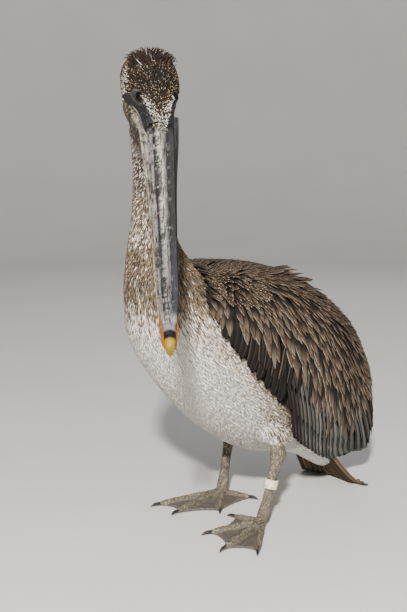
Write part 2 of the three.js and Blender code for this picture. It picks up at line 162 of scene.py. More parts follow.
class Surface:
    """A surface that feathers lie on: its nearest place and its smooth outward direction."""

    def __init__(self, points, triangles):
        self.points = points
        self.triangles = triangles
        self.tree = BVHTree.FromPolygons(points.tolist(), triangles.tolist())
        a, b, c = (points[triangles[:, k]] for k in range(3))
        across = np.cross(b - a, c - a)
        self.areas = np.linalg.norm(across, axis=1) / 2
        normals = np.zeros_like(points)
        for k in range(3):
            np.add.at(normals, triangles[:, k], across)
        self.normals = unit(normals)

    def nearest(self, places):
        feet = []
        found = []
        for spot in places.tolist():
            foot, _, index, _ = self.tree.find_nearest(spot)
            feet.append(foot[:])
            found.append(index)
        feet = np.array(feet)
        corners = self.triangles[np.array(found)]
        gaps = np.linalg.norm(self.points[corners] - feet[:, None], axis=2)
        weights = 1 / (gaps + 1e-6)
        normals = (self.normals[corners] * weights[..., None]).sum(1)
        return feet, unit(normals)

    def scatter(self, spacing, wanted, rng):
        """Roots about spacing apart (a function of place, in mm) where wanted() is true."""
        count = int(self.areas.sum() / (ROOT_GRAIN * MM) ** 2)
        chosen = rng.choice(len(self.areas), count, p=self.areas / self.areas.sum())
        share = np.sqrt(rng.random(count))[:, None]
        slide = rng.random(count)[:, None]
        a, b, c = (self.points[self.triangles[chosen, k]] for k in range(3))
        roots = (1 - share) * a + share * (1 - slide) * b + share * slide * c
        na, nb, nc = (self.normals[self.triangles[chosen, k]] for k in range(3))
        normals = unit((1 - share) * na + share * (1 - slide) * nb + share * slide * nc)
        keep = wanted(roots)
        roots = roots[keep]
        normals = normals[keep]
        gaps = spacing(roots) * MM
        steps = np.round(np.log(gaps / MM) * SPACING_STEPS)
        cells = np.exp(steps / SPACING_STEPS) * MM * CELL_SHARE
        keys = np.column_stack([np.floor(roots / cells[:, None]), steps]).astype(int)
        _, first = np.unique(keys, axis=0, return_index=True)
        first.sort()
        return roots[first], normals[first]


def arrays_of(mesh):
    """A mesh's points and triangles."""
    mesh.calc_loop_triangles()
    points = np.empty(len(mesh.vertices) * 3)
    mesh.vertices.foreach_get("co", points)
    triangles = np.empty(len(mesh.loop_triangles) * 3, int)
    mesh.loop_triangles.foreach_get("vertices", triangles)
    return points.reshape(-1, 3), triangles.reshape(-1, 3)


def surface_of(*names):
    """One surface from some of the frame's nodes."""
    points = []
    triangles = []
    count = 0
    for name in names:
        some, faces = arrays_of(NODES[name].data)
        points.append(some)
        triangles.append(faces + count)
        count += len(some)
    return Surface(np.concatenate(points), np.concatenate(triangles))


def eased(points, edges, rounds, weight=None):
    """Points moved halfway to the mean of their neighbours, less where their weight is small."""
    count = np.bincount(edges.ravel(), minlength=len(points))[:, None]
    pull = 0.5 if weight is None else 0.5 * weight[:, None]
    for _ in range(rounds):
        total = np.zeros_like(points)
        np.add.at(total, edges[:, 0], points[edges[:, 1]])
        np.add.at(total, edges[:, 1], points[edges[:, 0]])
        points = points + pull * (total / np.maximum(count, 1) - points)
    return points


def edges_of(faces):
    pairs = np.concatenate([faces[:, [0, 1]], faces[:, [1, 2]], faces[:, [2, 0]]])
    return np.unique(np.sort(pairs, axis=1), axis=0)


# ---- Finishes -------------------------------------------------------------------------------------


class Value:
    """A shader socket that can be written into sums."""

    def __init__(self, finish, socket):
        self.finish = finish
        self.socket = socket

    def math(self, operation, *others):
        values = {i: value for i, value in enumerate((self, *others))}
        return self.finish.node("ShaderNodeMath", {"operation": operation}, values)

    def __add__(self, other):
        return self.math("ADD", other)

    def __mul__(self, other):
        return self.math("MULTIPLY", other)

    def __sub__(self, other):
        return self.math("SUBTRACT", other)

    def __rsub__(self, other):
        return (self * -1).math("ADD", other)

    def __abs__(self):
        return self.math("ABSOLUTE")

    __radd__ = __add__
    __rmul__ = __mul__

    def rise(self, low, high):
        """0 below low, 1 above high, and smooth in between."""
        settings = {"interpolation_type": "SMOOTHSTEP"}
        return self.finish.node("ShaderNodeMapRange", settings, {0: self, 1: low, 2: high})


class Finish:
    """A material and the nodes that shade it."""

    def __init__(self, name, roughness=0.6, **constants):
        self.material = bpy.data.materials.new(name)
        self.material.use_nodes = True
        self.tree = self.material.node_tree
        self.shader = self.tree.nodes["Principled BSDF"]
        self.shader.inputs["Roughness"].default_value = roughness
        for socket, value in constants.items():
            self.shader.inputs[socket.replace("_", " ")].default_value = value

    def node(self, kind, settings, values, out=0):
        """A node of a kind, with its settings made first, and then its sockets filled or linked."""
        made = self.tree.nodes.new(kind)
        for key, setting in settings.items():
            setattr(made, key, setting)
        for key, value in values.items():
            if isinstance(value, Value):
                self.tree.links.new(value.socket, made.inputs[key])
            else:
                made.inputs[key].default_value = value
        return Value(self, made.outputs[out])

    def attribute(self, name, out="Fac"):
        return self.node("ShaderNodeAttribute", {"attribute_name": name}, {}, out)

    def place(self):
        return self.node("ShaderNodeTexCoord", {}, {}, "Object")

    def scaled(self, vector, scale):
        return self.node("ShaderNodeVectorMath", {"operation": "MULTIPLY"}, {0: vector, 1: scale})

    def noise(self, scale, detail=3.0, vector=None, roughness=0.55):
        values = {"Vector": vector or self.place(), "Scale": scale, "Detail": detail}
        values["Roughness"] = roughness
        return self.node("ShaderNodeTexNoise", {}, values)

    def cells(self, scale, vector=None, feature="DISTANCE_TO_EDGE"):
        values = {"Vector": vector or self.place(), "Scale": scale}
        return self.node("ShaderNodeTexVoronoi", {"feature": feature}, values, "Distance")

    def blend(self, a, b, share, how="MIX"):
        """One colour over another."""
        settings = {"data_type": "RGBA", "blend_type": how}
        values = {0: share, 6: self.colour(a), 7: self.colour(b)}
        return self.node("ShaderNodeMix", settings, values, 2)

    @staticmethod
    def colour(value):
        return value if isinstance(value, Value) else (*value, 1.0)

    def joined(self, x, y, z):
        return self.node("ShaderNodeCombineXYZ", {}, {0: x, 1: y, 2: z})

    def show(self, socket, value):
        self.tree.links.new(value.socket, self.shader.inputs[socket])

    def bump(self, height, strength, distance):
        values = {"Strength": strength, "Distance": distance, "Height": height}
        self.show("Normal", self.node("ShaderNodeBump", {}, values))


WHITE = paint("eeece5")
CREAM = paint("cfc4ad")
BUFF = paint("a58f70")
OCHRE = paint("8f7048")
BROWN = paint("54412f")
DARK = paint("2a211a")
BLACK = paint("14110f")
SOOT = (0.0, 0.0, 0.0)
GREY = paint("85827b")
SILVER = paint("a3a29c")
RUST = paint("6b4630")
RIM_BUFF = paint("b9a383")
RIM_GREY = paint("b4b0a6")


def plumage_finish():
    """Vanes with a darker or paler rim, a shaft line, painted shade on the root that the feather above
    overlaps, and fine barbs.
    """
    finish = Finish("plumage", roughness=0.8, Specular_IOR_Level=0.18)
    aside = finish.attribute("across")
    across = abs(aside)
    along = finish.attribute("along")
    rim = across.rise(0.74, 0.9)
    tip = (along - finish.attribute("tipped")).rise(0.0, 0.08)
    outer = aside * finish.attribute("split")
    web = outer.rise(0.02, 0.12) * (1 - outer.rise(0.45, 0.6))
    edge = 1 - (1 - rim * 0.9) * (1 - tip) * (1 - web)
    colour = finish.blend(
        finish.attribute("inner", "Color"), finish.attribute("edge", "Color"), edge
    )
    shaft = (1 - across.rise(0.04, 0.14)) * finish.attribute("shaft")
    colour = finish.blend(colour, paint("8f8778"), shaft * 0.6)
    # Painted shade: each vane's root, where the feather above overlaps it, is darkened by its shaded
    # share.
    painted_root_shade = (1 - along.rise(0.52, 0.86)) * finish.attribute("shaded")
    colour = finish.blend(colour, BLACK * 0.6, painted_root_shade)
    grain = finish.noise(900, 2)
    colour = finish.blend(colour, SOOT, grain.rise(0.5, 0.8) * 0.16)
    finish.show("Base Color", colour)
    slant = along * 60 + across * 9
    barbs = finish.node("ShaderNodeMath", {"operation": "SINE"}, {0: slant * 6.28})
    finish.bump(barbs * 0.5 + grain, 0.35, 0.0004)
    return finish.material


# ---- Plumage --------------------------------------------------------------------------------------

# Across and up, for each corner of a vane's cross-section.
SLIM_SECTION = np.array([(-1, 0), (0, 1), (1, 0), (0, -1)], float)
BROAD_SECTION = np.array(
    [(-1, 0), (-0.5, 0.8), (0, 1.1), (0.5, 0.8), (1, 0), (0, -0.8)], float
)

PATCH = 0.0015  # half the size of a feather's place on the plumage map
FLOOR_GAP = 0.0006  # the least height of a feather above the floor


def lance(along):
    """Half width of a pointed feather, from root to tip."""
    return np.sin(np.pi * np.clip(0.16 + 0.84 * along, 0, 1)) ** 0.8


def rounded(along):
    """Half width of a round-ended feather."""
    end = np.clip((along - 0.74) / 0.26, 0, 1)
    return (0.45 + 0.55 * rise(along, 0, 0.5)) * np.sqrt(1 - end**2)


def leaf(along):
    """Half width of a covert: broad, with a blunt point."""
    end = np.clip((along - 0.55) / 0.45, 0, 1)
    return (0.45 + 0.55 * rise(along, 0, 0.5)) * (1 - end**2.1)


def blade(along):
    """Half width of a long flight feather."""
    end = np.clip((along - 0.86) / 0.14, 0, 1)
    return (0.55 + 0.45 * rise(along, 0, 0.35)) * np.sqrt(1 - end**2)


class Coat:
    """Many feathers joined as one piece."""

    def __init__(self):
        self.points = []
        self.faces = []
        self.maps = []
        titles = ("across", "along", "inner", "edge", "shaft", "split", "tipped", "shaded")
        self.marks = {title: [] for title in titles}
        self.count = 0
        self.triangles = 0

    def add(self, lines, normals, half, form, marks, spots, section=SLIM_SECTION,
            thickness=0.5, camber=0.25, tilt=0.0, stations=None, shaft=0.0, split=0.0,
            tipped=0.88, shaded=0.0):
        """Vanes on centre lines (feather, station); half is each one's greatest half width, mm.

        split is the side of a two-coloured vane, tipped where its tip begins, shaded how strongly
        painted shade darkens its root.
        """
        number, steps, _ = lines.shape
        corners = len(section)
        along = np.linspace(0, 1, steps) if stations is None else stations
        ways = np.gradient(lines, axis=1)
        sides = unit(np.cross(ways, normals))
        widths = half[:, None] * form(along)[None, :] * MM
        depth = thickness * MM * (0.35 + 0.65 * form(along))
        across = section[:, 0]
        lift = section[:, 1][None, :] * depth[:, None] / 2
        fall = camber * widths[..., None] * across**2 - tilt * MM * across
        body = (
            lines[:, :, None]
            + sides[:, :, None] * (widths[..., None] * across)[..., None]
            + normals[:, :, None] * (lift[None] - fall)[..., None]
        )
        body = body[:, :-1].reshape(number, -1, 3)
        tips = lines[:, -1:, :]
        points = np.concatenate([body, tips], axis=1)
        per = points.shape[1]
        step = np.arange(steps - 2)[:, None] * corners
        j = np.arange(corners)
        k = (j + 1) % corners
        quads = np.stack(
            [step + j, step + k, step + corners + k, step + corners + j], axis=-1
        ).reshape(-1, 4)
        last = (steps - 2) * corners
        ends = np.stack([last + j, last + k, np.full(corners, per - 1)], axis=-1)
        root = j[::-1][None]
        starts = self.count + np.arange(number) * per
        for block in (quads, ends, root):
            self.faces.append((starts[:, None, None] + block[None]).reshape(-1, block.shape[1]))
        self.triangles += number * (2 * len(quads) + len(ends) + corners - 2)
        self.points.append(points.reshape(-1, 3))
        self.count += number * per
        ringed = np.repeat(along[:-1], corners)
        everyone = {
            "across": np.append(np.tile(across, steps - 1), 0.0),
            "along": np.append(ringed, 1.0),
        }
        for name, values in everyone.items():
            self.marks[name].append(np.tile(values, number))
        for name in ("inner", "edge"):
            self.marks[name].append(np.repeat(marks[name], per, axis=0))
        looks = {"shaft": shaft, "split": split, "tipped": tipped, "shaded": shaded}
        for name, value in looks.items():
            self.marks[name].append(np.full(number * per, float(value)))
        offset = np.column_stack([everyone["across"], 2 * everyone["along"] - 1]) * PATCH
        self.maps.append((spots[:, None] + offset[None]).reshape(-1, 2))

    def piece(self, name, finish, slot, nodes=()):
        """The feathers as one object of the frame."""
        sizes = np.concatenate([np.full(len(f), f.shape[1]) for f in self.faces])
        corners = np.concatenate([f.ravel() for f in self.faces])
        points = np.concatenate(self.points)
        low = points[:, 2] < 2 * FLOOR_GAP
        points[low, 2] = FLOOR_GAP + FLOOR_GAP * np.exp(points[low, 2] / FLOOR_GAP - 2)
        made = mesh_piece(name, points, corners, sizes, finish)
        for title, parts in self.marks.items():
            mark(made, title, np.concatenate(parts))
        chart = made.data.uv_layers.new(name="OFBake")
        chart.data.foreach_set("uv", np.concatenate(self.maps)[corners].ravel())
        print("coat piece", name, self.triangles)
        return settle(made, nodes)


def flowing(stops, values, where):
    """A smooth curve through the values at the stops, read at the places asked for."""
    stops = np.asarray(stops, float)
    values = np.asarray(values, float)
    slopes = np.gradient(values, stops, axis=0)
    where = np.asarray(where, float)
    k = np.clip(np.searchsorted(stops, where) - 1, 0, len(stops) - 2)
    gap = stops[k + 1] - stops[k]
    u = (where - stops[k]) / gap
    if values.ndim > 1:
        gap = gap[..., None]
        u = u[..., None]
    ends = (1 + 2 * u) * (1 - u) ** 2 * values[k] + u * u * (3 - 2 * u) * values[k + 1]
    return ends + gap * (u * (1 - u) ** 2 * slopes[k] - u * u * (1 - u) * slopes[k + 1])


def loft(rings, closed=False):
    """Points, face corners and corner counts of a tube through rings of points, facing outward."""
    steps, around, _ = rings.shape
    k = np.arange(around)
    j = (k + 1) % around
    rows = steps if closed else steps - 1
    low = np.arange(rows)[:, None] * around
    high = (low + around) % (steps * around)
    quads = np.stack([low + k, low + j, high + j, high + k], axis=-1).reshape(-1, 4)
    points = rings.reshape(-1, 3)
    corners = quads.ravel()
    sizes = np.full(len(quads), 4)
    if not closed:
        points = np.concatenate([points, rings[:1].mean(axis=1), rings[-1:].mean(axis=1)])
        first = np.stack([j, k, np.full(around, steps * around)], axis=-1)
        last = (steps - 1) * around
        final = np.stack([last + k, last + j, np.full(around, steps * around + 1)], axis=-1)
        corners = np.concatenate([corners, first.ravel(), final.ravel()])
        sizes = np.concatenate([sizes, np.full(2 * around, 3)])
    a, b, c = (points[quads[:, i]] - points.mean(axis=0) for i in (0, 1, 2))
    if (np.cross(a, b) * c).sum() < 0:
        starts = np.repeat(np.cumsum(sizes) - sizes, sizes)
        ends = np.repeat(np.cumsum(sizes) - 1, sizes)
        corners = corners[starts + ends - np.arange(len(corners))]
    return points, corners, sizes


def joined_lofts(lofts):
    """Several tubes as one mesh."""
    counts = np.cumsum([0] + [len(points) for points, _, _ in lofts[:-1]])
    points = np.concatenate([points for points, _, _ in lofts])
    corners = np.concatenate([c + count for (_, c, _), count in zip(lofts, counts)])
    return points, corners, np.concatenate([sizes for _, _, sizes in lofts])


def mark(piece, name, values):
    """A value or a colour for each point of a piece, for its finish to read."""
    values = np.asarray(values, float)
    if values.ndim == 2:
        values = np.column_stack([values, np.ones(len(values))])
        layer = piece.data.attributes.new(name, "FLOAT_COLOR", "POINT")
        layer.data.foreach_set("color", values.ravel())
    else:
        layer = piece.data.attributes.new(name, "FLOAT", "POINT")
        layer.data.foreach_set("value", values)


def mesh_piece(name, points, corners, sizes, finish):
    """An object from points, the corners of all faces in a row, and each face's corner count."""
    mesh = bpy.data.meshes.new(name)
    mesh.vertices.add(len(points))
    mesh.vertices.foreach_set("co", np.asarray(points, float).ravel())
    mesh.loops.add(len(corners))
    mesh.loops.foreach_set("vertex_index", np.asarray(corners, int))
    mesh.polygons.add(len(sizes))
    starts = np.concatenate([[0], np.cumsum(sizes)[:-1]])
    mesh.polygons.foreach_set("loop_start", starts)
    mesh.polygons.foreach_set("loop_total", sizes)
    mesh.polygons.foreach_set("use_smooth", np.ones(len(sizes), bool))
    mesh.materials.append(finish)
    mesh.update(calc_edges=True)
    mesh.validate()
    made = bpy.data.objects.new(name, mesh)
    bpy.context.scene.collection.objects.link(made)
    return made


def settle(piece, nodes=()):
    """The piece rides with the bird and stands for the nodes it replaces."""
    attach(piece, "root")
    if nodes:
        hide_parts(*nodes)
    return piece


STIFFNESS = 0.6  # how far a feather keeps its own way, against the lie of the plumage


def laid(surface, roots, normals, flow, lengths, lifts, rng, stray=0.12, stations=None):
    """Centre lines of feathers that run from their roots over a surface, along its flow.

    lifts gives each station's height above the surface, in mm; stray turns each feather a little.
    """
    steps = len(lifts)
    along = np.linspace(0, 1, steps) if stations is None else stations
    ways = flat_on(flow(roots), normals)
    sides = np.cross(normals, ways)
    ways = unit(ways + stray * rng.normal(size=(len(roots), 1)) * sides)
    lines = np.empty((len(roots), steps, 3))
    tops = np.empty_like(lines)
    foot = roots
    for k in range(steps):
        if k:
            ahead = foot + ways * (lengths * MM * (along[k] - along[k - 1]))[:, None]
            foot, normals = surface.nearest(ahead)
            lie = flat_on(flow(foot), normals)
            ways = flat_on(STIFFNESS * ways + (1 - STIFFNESS) * lie, normals)
        lines[:, k] = foot + normals * lifts[k] * MM
        tops[:, k] = normals
    return lines, tops


# ---- The flanks -----------------------------------------------------------------------------------

WING_FRONT = place(0, 162, 273)
WING_REAR = place(0, -210, 50)
WING_WAY = unit(WING_REAR - WING_FRONT)
WING_RUN = np.linalg.norm(WING_REAR - WING_FRONT)
WING_UP = np.cross(LEFT, WING_WAY)
WING_STATIONS = [0.1, 0.2, 0.3, 0.45, 0.6, 0.68, 0.75, 0.9]
WING_LOW = [0, -7, -16, -26, -33, -24, -10, 0]


def wing_edge(share):
    """Degrees from the side at which the folded wing's lower edge lies."""
    return np.interp(share, WING_STATIONS, WING_LOW)


def flank_measures(points):
    """Share of the way from breast to wing tip, and degrees up from the side."""
    offset = np.asarray(points) - WING_FRONT
    share = offset @ WING_WAY / WING_RUN
    side = np.abs(offset @ LEFT)
    return share, np.degrees(np.arctan2(offset @ WING_UP, side))


def under_wing(points):
    """1 where the folded wings lie, 0 on the rest of the body."""
    share, angle = flank_measures(points)
    low = wing_edge(share)
    return rise(share, 0.13, 0.2) * rise(angle, low - 1, low + 6)


# ---- Skin -----------------------------------------------------------------------------------------

FLESH = [
    "trunk", "neck_lower", "neck_middle", "neck_upper", "head", "gular_pouch",
    "wing_left", "wing_right", "thigh_left", "thigh_right",
]
SHANKS = ["tarsus_left", "tarsus_right", "foot_left", "foot_right"]


def drawn_in(points, depth):
    """Points of a folded wing moved towards the body's middle line."""
    offset = points - WING_FRONT
    across = offset - (offset @ WING_WAY)[:, None] * WING_WAY
    return points - unit(across) * (depth * MM)


def one_body(names, grain, swell=0.35):
    """The named nodes as one even mesh: joined, swelled over their gaps and remade in voxels."""
    build = bmesh.new()
    for name in names:
        first = len(build.verts)
        build.from_mesh(NODES[name].data)
        build.verts.ensure_lookup_table()
        if name.startswith("wing"):
            points = drawn_in(np.array([v.co[:] for v in build.verts[first:]]), 9)
            for vertex, point in zip(build.verts[first:], points.tolist()):
                vertex.co = point
    bmesh.ops.remove_doubles(build, verts=build.verts, dist=0.00002)
    build.normal_update()
    for vertex in build.verts:
        vertex.co += vertex.normal * swell * MM
    mesh = bpy.data.meshes.new("rough")
    build.to_mesh(mesh)
    build.free()
    rough = bpy.data.objects.new("rough", mesh)
    bpy.context.scene.collection.objects.link(rough)
    remade = rough.modifiers.new("voxels", "REMESH")
    remade.mode = "VOXEL"
    remade.voxel_size = grain * MM
    graph = bpy.context.evaluated_depsgraph_get()
    result = bpy.data.meshes.new_from_object(rough.evaluated_get(graph))
    bpy.data.objects.remove(rough)
    return result


def refined(mesh, wanted, cuts):
    """The mesh's faces where wanted() is true, cut finer."""
    build = bmesh.new()
    build.from_mesh(mesh)
    build.verts.ensure_lookup_table()
    points = np.array([v.co[:] for v in build.verts])
    inside = wanted(points)
    edges = [e for e in build.edges if inside[e.verts[0].index] and inside[e.verts[1].index]]
    bmesh.ops.subdivide_edges(build, edges=edges, cuts=cuts, use_grid_fill=True)
    bmesh.ops.triangulate(build, faces=[f for f in build.faces if len(f.verts) > 4])
    build.to_mesh(mesh)
    build.free()
    return mesh


def largest_part(points, triangles):
    """Only the biggest connected part of a mesh."""
    label = np.arange(len(points))
    edges = edges_of(triangles)
    while True:
        low = np.minimum(label[edges[:, 0]], label[edges[:, 1]])
        fresh = label.copy()
        np.minimum.at(fresh, edges[:, 0], low)
        np.minimum.at(fresh, edges[:, 1], low)
        fresh = fresh[fresh]
        if (fresh == label).all():
            break
        label = fresh
    biggest = np.bincount(label).argmax()
    keep = label == biggest
    index = np.cumsum(keep) - 1
    return points[keep], index[triangles[keep[triangles[:, 0]]]]


EYE_FORWARD = 18
EYE_UP = 5.5
EYE_OUT = 16.6
EYE_RADIUS = 6.6


def bare_face(forward, right, up):
    """1 on the bare skin round the eye and from it to the bill, 0 on feathers."""
    side = np.abs(right)
    above = rise(up - 13 + 0.2 * (forward - 16), 1.0, -1.0)
    behind = np.interp(up, [-8, -3, 5, 12], [-6, 3, 9.5, 10.5])
    front = rise(forward - behind, -1.5, 1.5)
    vee = np.interp(forward, [10, 24, 36, 47, 56, 64, 74, 80], [20, 17, 13.6, 10.7, 7.8, 5.2, 1.5, -3])
    forehead = rise(side - vee, -1, 1)
    below = rise(up + 0.45 * (forward - 16), -52, -46)
    ring = rise(np.hypot(forward - EYE_FORWARD, up - EYE_UP), 9, 7.5) * rise(side, 8, 11)
    return np.clip(np.maximum(front * above * forehead * below, ring), 0, 1)


def face_region(points):
    forward, right, up = head_measures(points)
    return (forward > -4) & (np.abs(right) < 40) & (np.abs(up) < 44) & (forward < 70)


POUCH = surface_of("gular_pouch")


def near_pouch(points):
    """1 on the pouch, 0 on the rest of the body."""
    share, right, up = bill_measures(points)
    close = (share > -0.25) & (share < 0.9) & (up < -6) & (up > -62) & (np.abs(right) < 30)
    mask = np.zeros(len(points))
    feet, _ = POUCH.nearest(points[close])
    gaps = np.linalg.norm(feet - points[close], axis=1) / MM
    mask[close] = rise(gaps, 4.5, 1.5) * rise(share[close], -0.17, -0.11)
    return mask


def pouch_region(points):
    return near_pouch(points) > 0.2


# Each leg's hip, hock and heel, the degrees its middle toe turns outward, and 1 for left or -1.
LEGS = [
    (place(52, 8, 138), place(66, 4, 92), place(58, 25, 0), 16, 1),
    (place(-50, -42, 134), place(-63, -48, 92), place(-58, -26, 0), -9, -1),
]


def near_thigh(points):
    """1 round the short feathered thighs, where the coat is thin."""
    near = np.zeros(len(points))
    for hip, hock, *_ in LEGS:
        way = unit(hip - hock)
        offset = (points - hock) / MM
        beside = np.linalg.norm(offset - (offset @ way)[:, None] * way, axis=1)
        near = np.maximum(near, rise(beside, 24, 15) * rise(points[:, 2] / MM, 126, 112))
    return near


def coat_depth(points):
    """How far the skin lies inside the feathers' outline, mm."""
    height = points[:, 2] / MM
    head = 1.7 * (1 - bare_face(*head_measures(points)))
    body = np.interp(height, [60, 110, 250, 330, 450], [3.5, 5, 5, 4, 3])
    depth = body + (head - body) * rise(height, 440, 470)
    return depth * (1 - near_pouch(points)) * (1 - 0.8 * near_thigh(points))


EYE_HALF_LENGTH = 5.9
EYE_HALF_HEIGHT = 5.8


def eye_region(points):
    forward, right, up = head_measures(points)
    close = np.hypot(forward - EYE_FORWARD, up - EYE_UP) < 10.5
    return close & (np.abs(right) > 9)


def eye_frame(side):
    """An eye's middle, the way it looks, and the ways along and up it; side is 1 for the right."""
    axis = unit(0.78 * side * HEAD_RIGHT + 0.55 * LOOK + 0.3 * HEAD_UP)
    along = unit(np.cross(HEAD_UP, axis))
    return on_head(EYE_FORWARD, side * EYE_OUT, EYE_UP), axis, along, np.cross(axis, along)


def eye_distance(forward, up):
    """Millimetres from the middle of the eye, seen from the side."""
    return np.hypot(forward - EYE_FORWARD, (up - EYE_UP) * 1.12)


def above_gape(forward, up):
    """Millimetres above the groove that runs back from the corner of the mouth."""
    return up + 15 + 0.14 * (forward - 20)


def lidded(points):
    """The skin drawn over each eyeball as two lids, open in an oval over the middle of the eye."""
    for side in (1, -1):
        centre, axis, along, upward = eye_frame(side)
        offset = (points - centre) / MM
        ahead = offset @ axis
        x = offset @ along
        y = offset @ upward
        out = np.hypot(x, y)
        opening = np.hypot(x / EYE_HALF_LENGTH, y / EYE_HALF_HEIGHT)
        lid = EYE_RADIUS + 0.35 + 0.45 * hump(opening, 1.12, 0.12) - 0.25 * hump(opening, 1.55, 0.12)
        reach = np.where(opening < 1, EYE_RADIUS - 1.3 * rise(opening, 1.0, 0.9), lid)
        height = np.sqrt(np.clip(reach**2 - np.minimum(out, 6.5) ** 2, 0.5, None))
        here = rise(out, 9.6, 6.7) * rise(ahead, -2, 1)
        points = points + axis * ((height - ahead) * here * MM)[:, None]
    return points


def sculpted_face(points, normals):
    """Folds round each eye, and the groove from the eye to the gape."""
    forward, right, up = head_measures(points)
    side = np.abs(right)
    near = rise(side, 8, 12)
    from_eye = eye_distance(forward, up)
    push = -0.7 * hump(from_eye, 9.6, 1.2)
    push = push + 0.35 * hump(from_eye, 11.8, 1.2)
    brow = hump(up - EYE_UP - 8.5 + 0.2 * (forward - 16), 0, 2.6) * hump(forward, 17, 9)
    push = push + 0.5 * brow
    lore = hump(up - (4 - 0.42 * (forward - 24)), 0, 3.4) * rise(forward, 22, 30)
    push = push - 1.3 * lore
    gape = above_gape(forward, up)
    push = push - 1.3 * hump(gape, 0, 1.3) * rise(forward, 2, 10)
    push = push + 0.9 * hump(gape, 2.8, 1.6) * rise(forward, 4, 12)
    for k, offset in enumerate((-6.0, -9.5, -13.0)):
        fold = hump(gape + 0.05 * forward, offset, 1.1)
        push = push - 0.55 * fold * rise(forward, -2 + 3 * k, 8)
    return points + normals * (push * near * MM)[:, None]


def pouch_folds(points, normals):
    """Lengthwise folds of the slack pouch."""
    share, right, up = bill_measures(points)
    on_pouch = near_pouch(points) * rise(up, -13, -17) * (1 - rise(share, 0.72, 0.82))
    wander = 1.2 * np.sin(share * 17) + 0.8 * np.sin(share * 41 + 1.3)
    folds = 0.6 * np.sin((up + wander) * 1.25)
    folds = folds + 0.35 * np.sin((up * 0.62 + right * 0.5 + wander) * 1.9)
    return points + normals * (folds * on_pouch * MM)[:, None]


# Each toe's bearing from the middle one in degrees, its length and its height in mm.
TOES = {"hind": (-98, 40, 7), "inner": (-33, 70, 8), "middle": (0, 96, 8.5), "outer": (23, 93, 8)}


def toe_lines():
    """Each toe's start and direction, and its length and height in mm."""
    lines = []
    for _, _, heel, turn, out in LEGS:
        for angle, length, height in TOES.values():
            way = math.radians(out * (turn + angle))
            lines.append((heel, math.sin(way) * LEFT + math.cos(way) * FORWARD, length, height))
    return lines


def shank_lines():
    """Each shank from its hock down to the ball of its foot."""
    return [(hock, heel + 7 * MM * UP) for _, hock, heel, _, _ in LEGS]


def ridge(value):
    """A row of rounded plates, one for each whole number."""
    return np.abs(np.sin(np.pi * value)) ** 0.5


def scaled_legs(points, normals):
    """Plates down the front of the shanks and along the toes, and creases in the webs."""
    push = np.zeros(len(points))
    pale = np.zeros(len(points))
    height = points[:, 2] / MM
    for start, way, length, _ in toe_lines():
        offset = (points - start) / MM
        along = offset @ way
        beside = np.linalg.norm(offset[:, :2] - along[:, None] * way[:2], axis=1)
        near = hump(beside, 0, 4.6) * rise(along, 2, 8) * rise(along, length + 3, length - 2)
        push = np.maximum(push, near * (0.55 * ridge(along / 3.4) * rise(height, 4, 7)))
        pale = np.maximum(pale, near)
    for hock, ball in shank_lines():
        axis = unit(ball - hock)
        offset = (points - hock) / MM
        along = offset @ axis
        beside = np.linalg.norm(offset - along[:, None] * axis, axis=1)
        near = rise(beside, 16, 12) * rise(height, 10, 16)
        front = rise(offset @ FORWARD - (along * (axis @ FORWARD)), 0, 4)
        plates = 0.5 * ridge(along / 4.4) * (0.35 + 0.65 * front)
        knobs = 0.9 * hump(along, 8, 8) * np.sin(along * 1.1 + beside) ** 2
        push = np.maximum(push, near * (plates + knobs))
        pale = np.maximum(pale, near * 0.7)
    heel_fan = np.zeros(len(points))
    for _, _, heel, turn, out in LEGS:
        offset = (points - heel) / MM
        reach = np.hypot(offset[:, 0], offset[:, 1])
        bearing = np.degrees(np.arctan2(offset @ LEFT, offset @ FORWARD)) * out - turn
        crease = np.sin(bearing * 0.9 + 2 * np.sin(reach * 0.08)) + 0.6 * np.sin(bearing * 2.3 + 1)
        here = rise(reach, 130, 100) * rise(reach, 12, 30)
        heel_fan = np.where(reach < 130, crease * here, heel_fan)
    push = push + 0.35 * heel_fan * (1 - pale) * rise(normals[:, 2], 0.1, 0.6)
    moved = points + normals * (push * MM)[:, None]
    moved[:, 2] = np.maximum(moved[:, 2], 0)
    return moved, pale


def joined_meshes(parts):
    """Points, faces and marks of several meshes as one."""
    points = np.concatenate([part[0] for part in parts])
    starts = np.cumsum([0] + [len(part[0]) for part in parts[:-1]])
    faces = np.concatenate([part[1] + start for part, start in zip(parts, starts)])
    tones, bare = (np.concatenate([part[k] for part in parts]) for k in (2, 3))
    return points, faces, tones, bare


def body_surface():
    """The bare body: remade, smoothed, drawn in by the coat's depth and sculpted."""
    mesh = one_body(FLESH, 3.6)
    mesh = refined(mesh, face_region, 2)
    mesh = refined(mesh, eye_region, 1)
    mesh = refined(mesh, pouch_region, 1)
    points, triangles = largest_part(*arrays_of(mesh))
    edges = edges_of(triangles)
    face = face_region(points).astype(float)
    points = eased(points, edges, 24, 1 - 0.6 * face - 0.85 * near_thigh(points))
    skin = Surface(points, triangles)
    points = points - skin.normals * (coat_depth(points) * MM)[:, None]
    points = eased(points, edges, 3, 1 - 0.5 * face)
    skin = Surface(points, triangles)
    points = sculpted_face(points, skin.normals)
    points = lidded(points)
    points = pouch_folds(points, skin.normals)
    return Surface(points, triangles)


def leg_surface():
    """The shanks and feet with their plates, and how pale each place is."""
    mesh = one_body(SHANKS, 1.3, 0.25)
    points, triangles = arrays_of(mesh)
    edges = edges_of(triangles)
    points = eased(points, edges, 3)
    points[:, 2] = np.maximum(points[:, 2], 0)
    for hip, hock, *_ in LEGS:
        inside = rise(points[:, 2] / MM, 87, 90) * (np.linalg.norm(points - hock, axis=1) < 0.03)
        points = points + inside[:, None] * unit(hip - hock) * 24 * MM
    legs = Surface(points, triangles)
    points, pale = scaled_legs(points, legs.normals)
    return Surface(points, triangles), pale


# ---- Markings, shared by skin and plumage ---------------------------------------------------------


